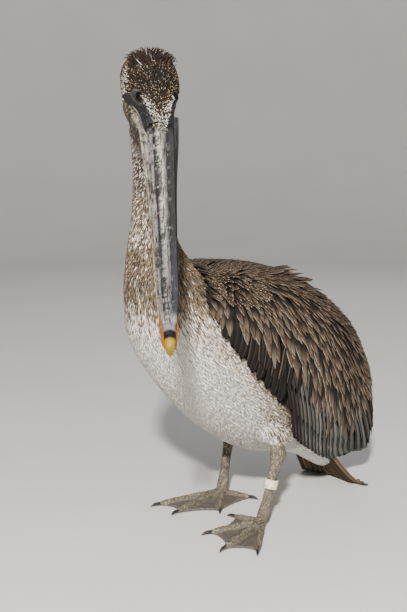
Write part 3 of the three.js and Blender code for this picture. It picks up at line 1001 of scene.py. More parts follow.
NECK_HEIGHTS = [205, 235, 255, 272, 293, 330, 352, 372, 408, 445]
NECK_BROWN = [0.02, 0.05, 0.12, 0.36, 0.86, 0.88, 0.58, 0.66, 0.86, 0.95]


def marking(points, rng=None):
    """Inner and rim colour of the feather at each place; without rng, the mean colour there."""
    points = np.asarray(points)
    left, front, height = on_bird(points)
    forward, right, up = head_measures(points)
    share, angle = flank_measures(points)
    count = len(points)

    def dice():
        return rng.random(count) if rng is not None else np.full(count, 0.5)

    def speckle(chance):
        """1 where a feather takes the mark: by chance, or its share without rng."""
        return rise(chance - dice(), -0.06, 0.06) if rng is not None else chance

    low = wing_edge(share)
    on_back = rise(angle, 52, 66) * rise(front, 172, 135) * rise(height, 340, 300)
    flank = rise(angle, low - 26, low - 4) * rise(share, 0.02, 0.12) * (1 - rise(share, 0.5, 0.58))
    ochre = np.clip(flank * (0.42 + 0.3 * rise(share, 0.3, 0.5)), 0, 1)
    neck_back = rise(-front + 150 + 0.25 * (np.abs(left) - 10), -16, 10)
    inner = WHITE * (0.93 + 0.12 * dice())[:, None]
    edge = mixed(inner, CREAM, 0.3 * dice())
    inner = mixed(inner, GREY, 0.12 * dice())
    brownish = mixed(OCHRE, BROWN, dice())
    inner = mixed(inner, brownish, speckle(ochre) * 0.85)
    edge = mixed(edge, mixed(BUFF, CREAM, dice()), speckle(ochre * 1.2) * 0.8)
    # Streaked flank just above the leg.
    streak = flank * rise(share, 0.36, 0.46)
    inner = mixed(inner, mixed(DARK, BROWN, dice()), speckle(streak * 0.75))
    # Neck: buff-white below, brown above and behind.
    level = height + 6 * rise(left, -10, 60) * rise(front, 60, 110)
    neck = rise(level, 205, 262)
    chance = np.interp(level, NECK_HEIGHTS, NECK_BROWN) + 0.5 * neck_back * rise(height, 262, 300)
    chance = np.clip(chance, 0, 0.95)
    hue = mixed(OCHRE, BROWN, np.clip(0.35 + dice() + 0.5 * rise(height, 340, 400), 0, 1))
    hue = mixed(hue, DARK, 0.9 * dice() * rise(height, 275, 335))
    hue = hue * (1 - 0.6 * rise(height, 268, 300))[:, None]
    brown = speckle(chance * neck)
    inner = mixed(inner, hue, brown * 0.9)
    rim = mixed(mixed(CREAM, BUFF, dice()), OCHRE, 0.4 * dice())
    edge = mixed(edge, rim * 0.8, neck * np.clip(0.2 + chance, 0, 1))
    dull = mixed(BUFF * 0.5, BROWN * 0.6, dice())
    edge = mixed(edge, dull, brown * (0.35 + 0.65 * (dice() > 0.35)))
    deep = neck * np.maximum(neck_back * rise(height, 285, 325), 0.8 * rise(height, 380, 450))
    edge = mixed(edge, mixed(BROWN * 0.5, BUFF * 0.5, dice()), deep * 0.85)
    salt = mixed(DARK, WHITE * 0.8, speckle(0.34))
    edge = mixed(edge, salt, rise(height, 385, 425) * (1 - neck_back) * 0.8)
    # Back between the wings.
    inner = mixed(inner, mixed(DARK, BROWN, dice()), on_back)
    edge = mixed(edge, mixed(BROWN, RIM_BUFF, dice()), on_back)
    # Painted shade: the body under the folded wings is painted dark, and the rump just below the wing
    # tips is darkened too.
    under_wing_shade_and_rump = np.maximum(under_wing(points), rise(share, 0.78, 0.86) * rise(angle, -16, 0))
    inner = mixed(inner, DARK * 0.8, under_wing_shade_and_rump)
    edge = mixed(edge, DARK, under_wing_shade_and_rump)
    # Head.
    head = rise(height + 0.3 * forward, 470, 485)
    crown = hump(np.hypot(forward - 12, right - 3), 0, 23) * rise(up, 6, 18)
    top = rise(height, 526, 546)
    inner_head = mixed(BLACK, DARK, dice() * (1 - 0.6 * crown))
    inner_head = mixed(inner_head, BLACK, crown * 0.8)
    inner_head = mixed(inner_head, RUST, 0.2 * top * (1 - crown))
    edge_head = mixed(BLACK, BROWN * 0.9, dice() * (1 - 0.6 * crown))
    edge_head = mixed(edge_head, RUST, 0.22 * top)
    speck = speckle(0.19 * (1 - 0.8 * crown))
    edge_head = mixed(edge_head, mixed(BUFF * 0.6, BUFF * 1.1, dice()), speck)
    cheek = rise(np.abs(right), 26.5, 30.5) * rise(forward, -26, -14) * rise(up, 27, 18)
    cheek = np.maximum(cheek, rise(np.abs(right), 20, 26) * rise(up, 2, -6) * rise(forward, -26, -8))
    vee = rise(forward - 51 + 1.75 * np.abs(right), -3, 5) * rise(up, 26, 18) * rise(forward, 8, 18)
    pale = np.maximum(cheek, vee)
    inner_head = mixed(inner_head, WHITE * 0.85, speckle(pale * 0.16))
    edge_head = mixed(edge_head, WHITE * 0.95, speckle(pale * 0.42) * 0.85)
    inner = mixed(inner, inner_head, head)
    edge = mixed(edge, edge_head, head)
    return {"inner": inner, "edge": edge}


HORN_PALE = paint("9f9b8e")
BARE_BLUE = paint("121419")
LID = paint("47423f")
GAPE = paint("25221e")
POUCH_SKIN = paint("2f2b25")
LEG_PALE = paint("857c69")
WEB_GREY = paint("57514c")


def skin_colours(points):
    """Colour of the skin at each place: the plumage's markings with the painted shade under the wings,
    and the bare face and pouch.
    """
    marks = marking(points)
    tone = marks["inner"] * 0.55 + marks["edge"] * 0.3
    forward, right, up = head_measures(points)
    bare = rise(bare_face(forward, right, up), 0.25, 0.5) * rise(points[:, 2], 0.43, 0.45)
    from_eye = eye_distance(forward, up)
    face = mixed(BARE_BLUE, LID, hump(from_eye, 7.8, 1.6))
    gape = above_gape(forward, up)
    face = mixed(face, GAPE, rise(-gape, -3, 2))
    face = mixed(face, CREAM * 0.8, hump(gape, 2.6, 1.0) * rise(forward, 10, 18) * 0.8)
    tone = mixed(tone, face, bare)
    pouch = near_pouch(points)
    tone = mixed(tone, POUCH_SKIN, pouch)
    grains = np.random.default_rng(3).random(len(points))
    slack = np.maximum(pouch, bare * rise(-gape, -2, 2))
    tone = mixed(tone, BUFF, slack * (grains > 0.9) * 0.5)
    share, beside, over = bill_measures(points)
    rail = hump(over - np.interp(share, [-0.13, -0.07, 0.02], [-11, -15.5, -16]), 0, 2.7)
    rail = rail * rise(share, -0.14, -0.115) * rise(share, 0.08, 0.05) * rise(np.abs(beside), 10, 14)
    tone = mixed(tone, HORN_PALE * (0.25 + 0.65 * grains)[:, None], rail * 0.85)
    return tone, np.maximum(bare, pouch), slack


def skin_finish():
    """Down under the feathers; wrinkled bare skin on face, pouch and feet."""
    finish = Finish("skin", roughness=0.7, Specular_IOR_Level=0.3)
    bare = finish.attribute("bare")
    scaly = finish.attribute("scaly")
    fine = finish.noise(420, 4)
    broad = finish.noise(70, 3)
    cells = finish.cells(520)
    tone = finish.attribute("tone", "Color")
    tone = finish.blend(tone, SOOT, (1 - cells.rise(0.0, 0.12)) * bare * 0.45)
    tone = finish.blend(tone, paint("c9bfae"), fine.rise(0.55, 0.8) * bare * 0.2)
    warts = finish.noise(260, 3, roughness=0.7)
    tone = finish.blend(tone, paint("a39c88"), warts.rise(0.55, 0.63) * finish.attribute("slack") * 0.45)
    tone = finish.blend(tone, SOOT, broad.rise(0.5, 0.75) * 0.25)
    plates = finish.cells(340)
    patches = finish.noise(120, 5, roughness=0.7)
    crumbs = finish.noise(330, 3, roughness=0.7)
    tone = finish.blend(tone, paint("2e2822"), patches.rise(0.48, 0.6) * scaly * 0.75)
    tone = finish.blend(tone, paint("c4b898"), crumbs.rise(0.5, 0.62) * scaly * 0.6)
    tone = finish.blend(tone, paint("1f1b17"), (1 - plates.rise(0.03, 0.2)) * scaly * 0.75)
    finish.show("Base Color", tone)
    finish.show("Roughness", 0.9 - bare * 0.42 + fine * 0.15)
    finish.bump(cells.rise(0.0, 0.3) * bare + fine * 0.6 + plates.rise(0.0, 0.2) * scaly, 0.6, 0.0008)
    return finish.material


body = body_surface()
legs, leg_pale = leg_surface()
body_tone, body_bare, body_slack = skin_colours(body.points)
leg_scaly = np.maximum(leg_pale, 0.25)
leg_tone = mixed(WEB_GREY, LEG_PALE, leg_pale * 0.75)
leg_left, _, leg_height = on_bird(legs.points)
# Painted shade: the right shank is painted darker above the foot.
leg_tone = mixed(leg_tone, paint("4c443b"), (leg_left < 0) * rise(leg_height, 14, 40) * 0.55)
all_points, all_faces, all_tones, all_bare = joined_meshes(
    [
        (body.points, body.triangles, body_tone, body_bare),
        (legs.points, legs.triangles, leg_tone, np.ones(len(legs.points))),
    ]
)
skin = mesh_piece(
    "skin", all_points, all_faces.ravel(), np.full(len(all_faces), 3), skin_finish()
)
mark(skin, "tone", all_tones)
mark(skin, "bare", all_bare)
mark(skin, "scaly", np.concatenate([np.zeros(len(body.points)), leg_scaly]))
mark(skin, "slack", np.concatenate([body_slack, np.zeros(len(legs.points))]))
settle(skin, FLESH + SHANKS)
print("skin", len(all_faces))

# ---- Bill -----------------------------------------------------------------------------------------

# Share of the bill's length; rise of the section's middle, half width, height above and depth below.
UPPER_BILL = np.array([
    (-0.04, -1, 13.5, 7, 6.5), (0.05, -0.5, 13.8, 7.4, 6.5), (0.2, -1, 12.8, 6.5, 5.5),
    (0.4, -2, 11.5, 5.5, 5), (0.6, -3, 10.5, 5, 4.5), (0.8, -3, 9.2, 4.6, 4),
    (0.88, -2.4, 7.4, 4.5, 3.8), (0.93, -2, 5.4, 4.3, 3.6),
])
NAIL = np.array([
    (0.9, -2, 5.2, 4.2, 3.2), (0.925, -1.9, 5.5, 4.6, 3.6), (0.955, -1.8, 5.3, 4.5, 4),
    (0.983, -3, 4.6, 3.8, 4.2), (1, -6, 3, 2.4, 3.2), (1.007, -9, 0.7, 0.6, 0.8),
])
LOWER_BILL = np.array([
    (-0.15, -21, 22.5, 4, 5), (0, -14, 20.5, 4.5, 5), (0.25, -10.6, 15.5, 4.2, 4.8),
    (0.5, -11, 12.6, 4, 4.2), (0.75, -10.4, 10.6, 3.6, 3.8), (0.88, -8.6, 8.6, 3.2, 3.2),
    (0.93, -8.6, 7.6, 2.8, 2.8), (0.965, -9.4, 5.8, 2.2, 2.4), (0.985, -10.4, 2.6, 1.2, 1.2),
])


def bill_part(table, shares, around, shape):
    """Rings of a part of the bill; shape turns a place round the section into its two offsets."""
    turn = np.linspace(0, 2 * np.pi, around, endpoint=False)[None, :]
    rows = flowing(table[:, 0], table[:, 1:], shares)
    middle, half, above, below = (rows[:, k : k + 1] for k in range(4))
    right, up = shape(shares[:, None], np.cos(turn), np.sin(turn), half, above, below)
    return on_bill(shares[:, None], right, middle + up)


def upper_shape(share, across, lift, half, above, below):
    """A flattened section with a raised middle ridge, a groove each side and a turned-down rim."""
    body = np.sign(lift) * np.abs(lift) ** 0.75
    top = above * body * (0.8 + 0.2 * np.abs(across))
    ridge = 0.26 * above * hump(across, 0, 0.26)
    wander = 0.03 * np.sin(share * 23) + 0.02 * np.sin(share * 57 + 1)
    groove = hump(across, 0.5 + wander, 0.075) + hump(across, -0.5 - wander, 0.075)
    ledge = hump(np.abs(across), 0.86, 0.05)
    grain = np.sin(across * 47 + 4 * np.sin(share * 11))
    grain = grain + 0.7 * np.sin(across * 83 + 5 * np.sin(share * 17))
    pits = np.sin(share * 310 + 9 * across) * np.sin(across * 31 + share * 60)
    fade = rise(share, 0.93, 0.86)
    top = top + ridge - (0.24 * above * groove + 0.09 * above * ledge) * fade
    top = top + 0.06 * grain + 0.05 * pits
    bottom = below * body * (1 - 0.55 * hump(across, 0, 0.75))
    return half * across, np.where(lift > 0, top, bottom)


def nail_shape(share, across, lift, half, above, below):
    """A smooth hooked plate, a little keeled."""
    body = np.sign(lift) * np.abs(lift) ** 0.85
    keel = 0.12 * above * hump(across, 0, 0.3)
    rim = rise(share, 0.9, 0.925)
    return half * across, np.where(lift > 0, above * body * (0.86 + 0.14 * rim) + keel, below * body)


def lower_shape(share, across, lift, half, above, below):
    """Two stout rails joined by thin skin, which meet at the tip."""
    rail = rise(np.abs(across), 0.4, 0.72) * (1 - rise(share, 0.84, 0.92)) + rise(share, 0.84, 0.92)
    body = np.sign(lift) * np.abs(lift) ** 0.45
    groove = 0.14 * hump(np.abs(across), 0.86, 0.06) * above
    grain = 0.06 * np.sin(across * 61 + 5 * np.sin(share * 13))
    top = above * body * (0.25 + 0.75 * rail) - groove + grain
    return half * across, np.where(lift > 0, top, below * body * (0.3 + 0.7 * rail))


HORN_GREY = paint("55565a")
HORN_DARK = paint("171616")
NAIL_YELLOW = paint("7d6500")
NAIL_BLACK = paint("0a0908")
ORANGE = paint("7d4200")


def horn_finish(name):
    """Worn horn: streaks and flecks along the bill, and a dull shine."""
    finish = Finish(name, roughness=0.45, Coat_Roughness=0.3, Specular_IOR_Level=0.3)
    along = finish.attribute("along")
    around = finish.attribute("around")
    tone = finish.attribute("tone", "Color")
    streaks = finish.noise(1.0, 4, finish.joined(along * 0.035, around * 0.34, 0.0), 0.7)
    flecks = finish.noise(1.0, 4, finish.joined(along * 0.1, around * 0.4, 3.0), 0.75)
    fine = finish.noise(1.0, 2, finish.joined(along * 0.25, around * 1.1, 7.0))
    mottling = finish.attribute("mottling")
    tone = finish.blend(tone, HORN_DARK * 0.8, streaks.rise(0.49, 0.56) * mottling * 0.85)
    tone = finish.blend(tone, HORN_PALE, flecks.rise(0.56, 0.61) * mottling * 0.7)
    tone = finish.blend(tone, HORN_DARK * 0.7, fine.rise(0.53, 0.62) * mottling * 0.7)
    tone = finish.blend(tone, SOOT, fine.rise(0.4, 0.8) * 0.15)
    finish.show("Base Color", tone)
    finish.show("Roughness", 0.38 + streaks * 0.2)
    finish.show("Coat Weight", 0.03 + mottling * 0.2)
    finish.bump(streaks + fine * 0.5, 0.4, 0.0005)
    return finish.material


def bill_piece(name, table, shares, around, shape, colours, mottled, node):
    """A piece of the bill; colours and mottled give its look by share of length and place across."""
    points, corners, sizes = loft(bill_part(table, shares, around, shape))
    made = mesh_piece(name, points, corners, sizes, horn_finish(name))
    share, right, up = bill_measures(points)
    half = flowing(table[:, 0], table[:, 2], np.clip(share, table[0, 0], table[-1, 0]))
    across = right / np.maximum(half, 1)
    mark(made, "tone", colours(share, across))
    # Fewer pale flecks and less coat on the bird's left side of the bill, which is painted dark as
    # shade.
    mark(made, "mottling", mottled(share) * (1 - 0.8 * rise(-across, 0.4, 0.6)))
    mark(made, "along", share * BILL_LENGTH)
    mark(made, "around", right + 2.3 * up)
    return settle(made, [node])


def upper_colours(share, across):
    return painted(
        HORN_GREY,
        (HORN_PALE * 1.05, hump(across, 0.05, 0.24) * (1 - 0.5 * rise(share, 0.35, 0.85))),
        (HORN_PALE * 0.85, hump(across, 0.74, 0.12) * 0.4),
        (HORN_DARK, hump(np.abs(across), 0.48, 0.12) * 0.95),
        # Painted shade: the bird's left side of the upper mandible is painted dark.
        (HORN_DARK, rise(-across, 0.42, 0.62) * 0.85),
        (paint("31353a"), rise(share, 0.4, 0.8) * 0.45),
        (BUFF * 1.1, hump(across, 0.97, 0.05) * 0.6),
        (paint("8d8a90"), hump(share, 0.895, 0.02) * 0.7),
        (BARE_BLUE, rise(share, 0.05, 0.0) * rise(np.abs(across), 0.15, 0.5)),
    )


def nail_colours(share, _):
    return painted(
        NAIL_YELLOW,
        (NAIL_YELLOW * 0.6, rise(share, 0.985, 1.005)),
        (NAIL_BLACK, rise(share, 0.974, 0.966)),
        (paint("6d6c72"), rise(share, 0.945, 0.935)),
    )


def lower_colours(share, across):
    return painted(
        HORN_PALE,
        (HORN_GREY, rise(share, 0.15, 0.6) * 0.7),
        (HORN_DARK, hump(np.abs(across), 0.84, 0.07) * 0.7),
        (POUCH_SKIN, rise(np.abs(across), 0.6, 0.45)),
        (paint("a8834a"), hump(across, 0.97, 0.06) * rise(share, 0.4, 0.6) * 0.7),
        # Painted shade: the bird's left side of the lower mandible is painted dark.
        (HORN_DARK * 0.7, rise(-across, 0.0, 0.3)),
        (ORANGE, rise(share, 0.845, 0.87)),
    )


def bill():
    shares = np.linspace(-0.04, 0.93, 190)
    upper = bill_piece("upper_mandible", UPPER_BILL, shares, 96, upper_shape, upper_colours,
                       lambda share: rise(share, 0.0, 0.04),
                       "bill_upper")
    shares = 0.9 + 0.107 * np.sin(np.linspace(0, np.pi / 2, 44)) ** 0.9
    bill_piece("nail", NAIL, shares, 48, nail_shape, nail_colours,
               lambda share: 0.12 + 0.7 * rise(share, 0.93, 0.92), "bill_nail")
    shares = np.linspace(-0.15, 0.985, 170)
    bill_piece("lower_mandible", LOWER_BILL, shares, 80, lower_shape, lower_colours,
               lambda share: 0.15 + 0.7 * rise(share, 0.86, 0.83),
               "bill_lower")
    return arrays_of(upper.data)


def with_more(surface, more):
    """A surface with the points and triangles of another mesh beside it."""
    points, triangles = more
    return Surface(
        np.concatenate([surface.points, points]),
        np.concatenate([surface.triangles, triangles + len(surface.points)]),
    )


FACE = with_more(body, bill())

# ---- Eyes, claws and leg ring ---------------------------------------------------------------------


def eye_finish():
    """A dark brown iris round a black pupil, under a clear wet surface."""
    finish = Finish("eye", roughness=0.3, Coat_Roughness=0.08, Coat_IOR=1.38, Specular_IOR_Level=0.1)
    out = finish.attribute("out")
    fibres = finish.noise(1.0, 3, finish.joined(finish.attribute("bearing") * 9.0, out * 0.5, 0.0))
    iris = finish.blend(paint("140c08"), paint("0a0604"), fibres.rise(0.4, 0.65))
    tone = finish.blend(iris, (0.002, 0.002, 0.002), 1 - out.rise(1.9, 2.15))
    tone = finish.blend(tone, paint("0f0c0b"), out.rise(3.7, 4.3))
    finish.show("Base Color", tone)
    finish.show("Coat Weight", 0.07 - out.rise(5.0, 6.0) * 0.02)
    finish.bump(fibres, 0.1, 0.0002)
    return finish.material


EYE_FINISH = eye_finish()


def eyeball(name, side, node):
    centre, axis, along, upward = eye_frame(side)
    polar = np.linspace(0.02, np.pi - 0.02, 44)[:, None]
    turn = np.linspace(0, 2 * np.pi, 48, endpoint=False)[None, :]
    reach = EYE_RADIUS * (1 + 0.05 * hump(polar, 0, 0.5)) - 0.1
    out = reach * np.sin(polar)
    rings = (
        centre
        + axis * (reach * np.cos(polar) * MM)[..., None]
        + along * (out * np.cos(turn) * MM)[..., None]
        + upward * (out * np.sin(turn) * MM)[..., None]
    )
    points, corners, sizes = loft(rings)
    made = mesh_piece(name, points, corners, sizes, EYE_FINISH)
    offset = (points - centre) / MM
    x = offset @ along
    y = offset @ upward
    mark(made, "out", np.hypot(x, y) + 8 * (offset @ axis < 0))
    mark(made, "bearing", np.arctan2(y, x))
    settle(made, [node])


eyeball("right_eyeball", 1, "eye_right")
eyeball("left_eyeball", -1, "eye_left")


def claw_rings(start, way, length, height):
    """A hooked claw: its root is inside the toe's end and its point bends down."""
    level = height * 0.38
    # Ahead of the toe's end, rise of the middle, half width and half height, mm.
    rows = np.array([
        (-2.5, 0.1, 2.0, 1.9), (0, 0.35, 2.1, 2.1), (4, 0.6, 1.85, 2.0), (8, 0.1, 1.3, 1.5),
        (10.4, -0.9, 0.7, 0.85), (11.6, -1.7, 0.2, 0.3),
    ])
    shares = np.linspace(0, 1, 22)
    rows = flowing(np.linspace(0, 1, len(rows)), rows, shares)
    turn = np.linspace(0, 2 * np.pi, 16, endpoint=False)[None, :]
    beside = np.cross(way, UP)
    pinch = np.where(np.sin(turn) < 0, 0.8, 1.0)
    return (
        start
        + way * ((length + 0.3 + rows[:, :1]) * MM)[..., None]
        + UP * ((level + rows[:, 1:2] + rows[:, 3:] * np.sin(turn)) * MM)[..., None]
        + beside * (rows[:, 2:3] * np.cos(turn) * pinch * MM)[..., None]
    )


def claw_finish():
    finish = Finish("claw_horn", roughness=0.35)
    streaks = finish.noise(1.0, 3, finish.scaled(finish.place(), (900.0, 900.0, 300.0)))
    finish.show("Base Color", finish.blend(paint("171412"), paint("4a4036"), streaks.rise(0.5, 0.75)))
    finish.show("Roughness", 0.3 + streaks * 0.25)
    finish.bump(streaks, 0.3, 0.0003)
    return finish.material


def claws():
    points, corners, sizes = joined_lofts([loft(claw_rings(*toe)) for toe in toe_lines()])
    points[:, 2] = np.maximum(points[:, 2], 0.0002)
    names = [f"claw_{side}_{toe}" for side in ("left", "right") for toe in TOES]
    settle(mesh_piece("claws", points, corners, sizes, claw_finish()), names)


claws()


def ring_finish():
    """Pale yellowish plastic, rubbed and a little dirty."""
    finish = Finish("leg_ring", roughness=0.4)
    wear = finish.noise(260, 4)
    dirt = finish.noise(120, 3)
    tone = finish.blend(paint("d9d5b4"), paint("b9b27f"), wear.rise(0.4, 0.7))
    finish.show("Base Color", finish.blend(tone, paint("6f684e"), dirt.rise(0.58, 0.72) * 0.6))
    finish.show("Roughness", 0.35 + wear * 0.3)
    finish.bump(wear, 0.3, 0.0003)
    return finish.material


def leg_ring():
    """A closed ring, a little loose round the shank and stretched fore and aft."""
    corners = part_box("leg_band")
    centre = (np.array(corners[0][:]) + np.array(corners[1][:])) / 2
    hock, ball = shank_lines()[0]
    axis = unit(hock - ball)
    turned = Vector(UP).rotation_difference(Vector(axis))
    side = np.array(turned @ Vector(LEFT))
    fore = np.array(turned @ Vector(FORWARD))
    turn = np.linspace(0, 2 * np.pi, 72, endpoint=False)[:, None, None]
    # Out from the axis and up along it, for each corner of the ring's section, mm.
    edge = np.array([
        (6.2, -5.1), (6.45, -5.5), (7.05, -5.5), (7.3, -5.1), (7.3, 0), (7.3, 5.1), (7.05, 5.5),
        (6.45, 5.5), (6.2, 5.1), (6.2, 0),
    ])
    out = edge[None, :, :1] * MM
    level = edge[None, :, 1:] * MM
    rings = centre + side * np.cos(turn) * out + 1.25 * fore * np.sin(turn) * out + axis * level
    points, faces, sizes = loft(rings, closed=True)
    settle(mesh_piece("leg_ring", points, faces, sizes, ring_finish()), ["leg_band"])


leg_ring()

# ---- Body plumage ---------------------------------------------------------------------------------


def body_flow(points):
    """The lie of the plumage: back over the head, down the neck, then back along the body."""
    left, front, height = on_bird(points)
    forward, _, _ = head_measures(points)
    backward = unit(-0.8 * FORWARD - 0.6 * UP)
    down = unit(-UP - 0.1 * FORWARD)
    flow = mixed(down, backward, rise(height, 300, 215))
    rear = unit(-0.55 * FORWARD - 0.84 * UP)
    flow = mixed(flow, rear, rise(-front, 60, 120))
    legs_near = np.zeros(len(points))
    for across, ahead in ((60, 4), (-58, -46)):
        away = np.hypot(left - across, front - ahead)
        legs_near = np.maximum(legs_near, rise(away, 34, 22) * rise(height, 122, 108))
    flow = mixed(flow, -UP, legs_near)
    over = mixed(-LOOK, -UP, rise(-forward, 4, 34))
    return unit(mixed(flow, over, rise(height, 462, 486)))


def body_chart(points):
    share, angle = flank_measures(points)
    return np.column_stack([0.03 + 0.94 * (angle + 90) / 180, 0.03 + 0.94 * (share + 0.25) / 1.25])


def neck_chart(points):
    left, front, height = on_bird(points)
    around = np.arctan2(left, front - 145) / (2 * np.pi) + 0.5
    return np.column_stack([0.03 + 0.94 * around, 0.05 + 0.9 * (height - 280) / 220])


def head_chart(points):
    forward, right, up = head_measures(points)
    around = np.arctan2(right, up) / (2 * np.pi) + 0.5
    return np.column_stack([0.03 + 0.94 * around, 0.05 + 0.9 * (forward + 60) / 130])


def feathered(points):
    """Where feathers grow: not on the bare face, the pouch or under the folded wings."""
    forward, right, up = head_measures(points)
    bare = bare_face(forward, right, up) * rise(points[:, 2], 0.43, 0.45)
    along, beside, over = bill_measures(points)
    on_horn = (along > 0.05) & (np.abs(beside) < 24) & (np.abs(over) < 14)
    clear = (bare < 0.4) & (near_pouch(points) < 0.3) & ~on_horn
    share, angle = flank_measures(points)
    low = wing_edge(share)
    under = (share > 0.14) & (angle > low + 2) & (angle < 70)
    return clear & ~under


def grown(name, chosen, spacing, length, half, chart, rng, lifts, slot, surface=body,
          stray=0.12, tipped=0.6, thickness=0.45, camber=0.25):
    """A coat piece of small feathers over part of the body.

    spacing, length and half width are functions of place that give mm; lifts are as for laid().
    """
    roots, normals = surface.scatter(spacing, lambda p: chosen(p) & feathered(p), rng)
    count = len(roots)
    lengths = length(roots) * rng.uniform(0.8, 1.2, count)
    lines, tops = laid(surface, roots, normals, body_flow, lengths, lifts, rng, stray)
    coat = Coat()
    coat.add(
        lines, tops, half(roots) * rng.uniform(0.75, 1.2, count), lance,
        marking(roots, rng), chart(roots), TUFT_SECTION, thickness=thickness, camber=camber,
        tipped=tipped,
    )
    return coat.piece(name, PLUMAGE, slot)


PLUMAGE = plumage_finish()
TUFT_SECTION = np.array([(-1, 0), (0, 1), (1, 0)], float)


def is_head(points):
    forward, _, _ = head_measures(points)
    return points[:, 2] / MM + 0.3 * forward > 474


def steady(value):
    return lambda points: np.full(len(points), float(value))


def by_height(low, high, at_low, at_high):
    """A size that changes evenly from one height on the bird to another."""
    return lambda points: np.interp(points[:, 2] / MM, [low, high], [at_low, at_high])


def nape_length(points):
    """Head feathers are short, and longer down the nape."""
    forward, _, _ = head_measures(points)
    return 3.2 + 5 * rise(-forward, 14, 36)


def dress_body():
    on_left = lambda p: p[:, 0] > MIDLINE
    is_trunk = lambda p: (p[:, 2] < 0.305) & ~is_head(p)
    is_neck = lambda p: (p[:, 2] >= 0.305) & ~is_head(p)
    upper = lambda p: flank_measures(p)[0] < 0.2
    for side, on_side in (("left", on_left), ("right", lambda p: ~on_left(p))):
        for part, on_part in (("breast", upper), ("belly", lambda p: ~upper(p))):
            rng = np.random.default_rng(len(side) * 10 + len(part))
            grown(
                f"{side}_{part}_feathers", lambda p: is_trunk(p) & on_side(p) & on_part(p),
                steady(2.45), steady(15), steady(0.95), body_chart, rng,
                lifts=[-0.4, 2.2, 3.7, 4.4], slot="plumage_white", stray=0.06,
                thickness=0.16, camber=0.05,
            )
    rng = np.random.default_rng(5)
    grown(
        "neck_feathers", is_neck, by_height(305, 470, 2.1, 1.4), by_height(305, 470, 9, 5),
        by_height(305, 470, 1.15, 0.78), neck_chart, rng, [-0.4, 1.8, 3.0, 3.9],
        "plumage_buff", stray=0.25, tipped=0.55,
    )
    rng = np.random.default_rng(6)
    grown(
        "head_feathers", is_head, steady(1.15), nape_length, steady(0.62), head_chart, rng,
        [-0.4, 1.0, 1.9, 2.7], "plumage_brown", surface=FACE, stray=0.45, tipped=0.58,
    )


def crest():
    """Bristly tufts that stand up from the back of the crown."""
    rng = np.random.default_rng(8)

    def top(points):
        forward, right, up = head_measures(points)
        return (up > 22) & (forward < 0) & (forward > -34) & (right > -14) & (right < 22)

    roots, normals = body.scatter(steady(2.7), top, rng)
    count = len(roots)
    lengths = rng.uniform(6, 11, count)
    lines, tops = laid(body, roots, normals, body_flow, lengths, [-0.4, 3.0, 6.4, 9.0], rng, 0.5)
    coat = Coat()
    coat.add(lines, tops, rng.uniform(0.5, 0.8, count), lance, marking(roots, rng),
             head_chart(roots), SLIM_SECTION, thickness=0.4)
    coat.piece("crest_feathers", PLUMAGE, "plumage_brown")


dress_body()
crest()

# ---- Wings ----------------------------------------------------------------------------------------


RAY_LENGTH = 0.25


class FoldedWing:
    """The outer face of the left wing, by share from breast to tip and degrees up from the side."""

    def __init__(self):
        self.shares = np.linspace(0.04, 1.04, 101)
        self.angles = np.linspace(-66, 92, 80)
        wing = surface_of("wing_left", "wing_left_flight")
        reach = np.full((len(self.shares), len(self.angles)), np.nan)
        for i, share in enumerate(self.shares):
            middle = WING_FRONT + WING_WAY * WING_RUN * share
            for j, angle in enumerate(np.radians(self.angles)):
                way = math.cos(angle) * LEFT + math.sin(angle) * WING_UP
                hit = wing.tree.ray_cast((middle + RAY_LENGTH * way).tolist(), (-way).tolist())
                if hit[0] is not None and hit[3] < RAY_LENGTH:
                    reach[i, j] = RAY_LENGTH - hit[3]
        for i in range(len(self.shares)):
            known = ~np.isnan(reach[i])
            if known.sum() > 3:
                reach[i] = np.interp(self.angles, self.angles[known], reach[i, known])
        known = ~np.isnan(reach[:, 0])
        for j in range(len(self.angles)):
            reach[:, j] = np.interp(self.shares, self.shares[known], reach[known, j])
        for _ in range(3):
            reach[1:-1] = (reach[:-2] + 2 * reach[1:-1] + reach[2:]) / 4
            reach[:, 1:-1] = (reach[:, :-2] + 2 * reach[:, 1:-1] + reach[:, 2:]) / 4
        self.reach = reach

    def radius(self, share, angle):
        i = np.clip((share - self.shares[0]) / (self.shares[1] - self.shares[0]), 0, 99.99)
        j = np.clip((angle - self.angles[0]) / (self.angles[1] - self.angles[0]), 0, 78.99)
        a = i.astype(int)
        b = j.astype(int)
        u = i - a
        v = j - b
        grid = self.reach
        low = grid[a, b] * (1 - u) + grid[a + 1, b] * u
        high = grid[a, b + 1] * (1 - u) + grid[a + 1, b + 1] * u
        return low * (1 - v) + high * v

    def point(self, share, angle):
        turn = np.radians(angle)[..., None]
        way = np.cos(turn) * LEFT + np.sin(turn) * WING_UP
        return (
            WING_FRONT + WING_WAY * WING_RUN * share[..., None]
            + way * self.radius(share, angle)[..., None]
        )

    def at(self, share, angle):
        """Places on the wing and their outward directions."""
        ahead = self.point(share + 0.006, angle) - self.point(share - 0.006, angle)
        aside = self.point(share, angle + 1.2) - self.point(share, angle - 1.2)
        return self.point(share, angle), unit(np.cross(ahead, aside))

    def nearest(self, places):
        share, angle = flank_measures(places)
        return self.at(share, angle)


WING = FoldedWing()


def wing_chart(share, angle):
    return np.column_stack([0.03 + 0.94 * (angle + 66) / 160, 0.03 + 0.94 * share / 1.05])


def covert_flow(points):
    """Coverts hang straight down the side of the wing and run back along the top."""
    share, angle = flank_measures(points)
    back = unit(-0.78 * FORWARD - 0.6 * UP)
    side = unit(0.1 * FORWARD - UP)
    rear = unit(-0.22 * FORWARD - UP)
    flow = mixed(side, rear, rise(share, 0.45, 0.75))
    return unit(mixed(flow, back, rise(angle, 46, 70)))


def on_side(side, lines, normals):
    """Feathers made for the left wing, as they lie on the side asked for."""
    if side == "left":
        return lines, normals
    lines = lines.copy()
    normals = normals.copy()
    lines[..., 0] = 2 * MIDLINE - lines[..., 0]
    normals[..., 0] *= -1
    return lines, normals


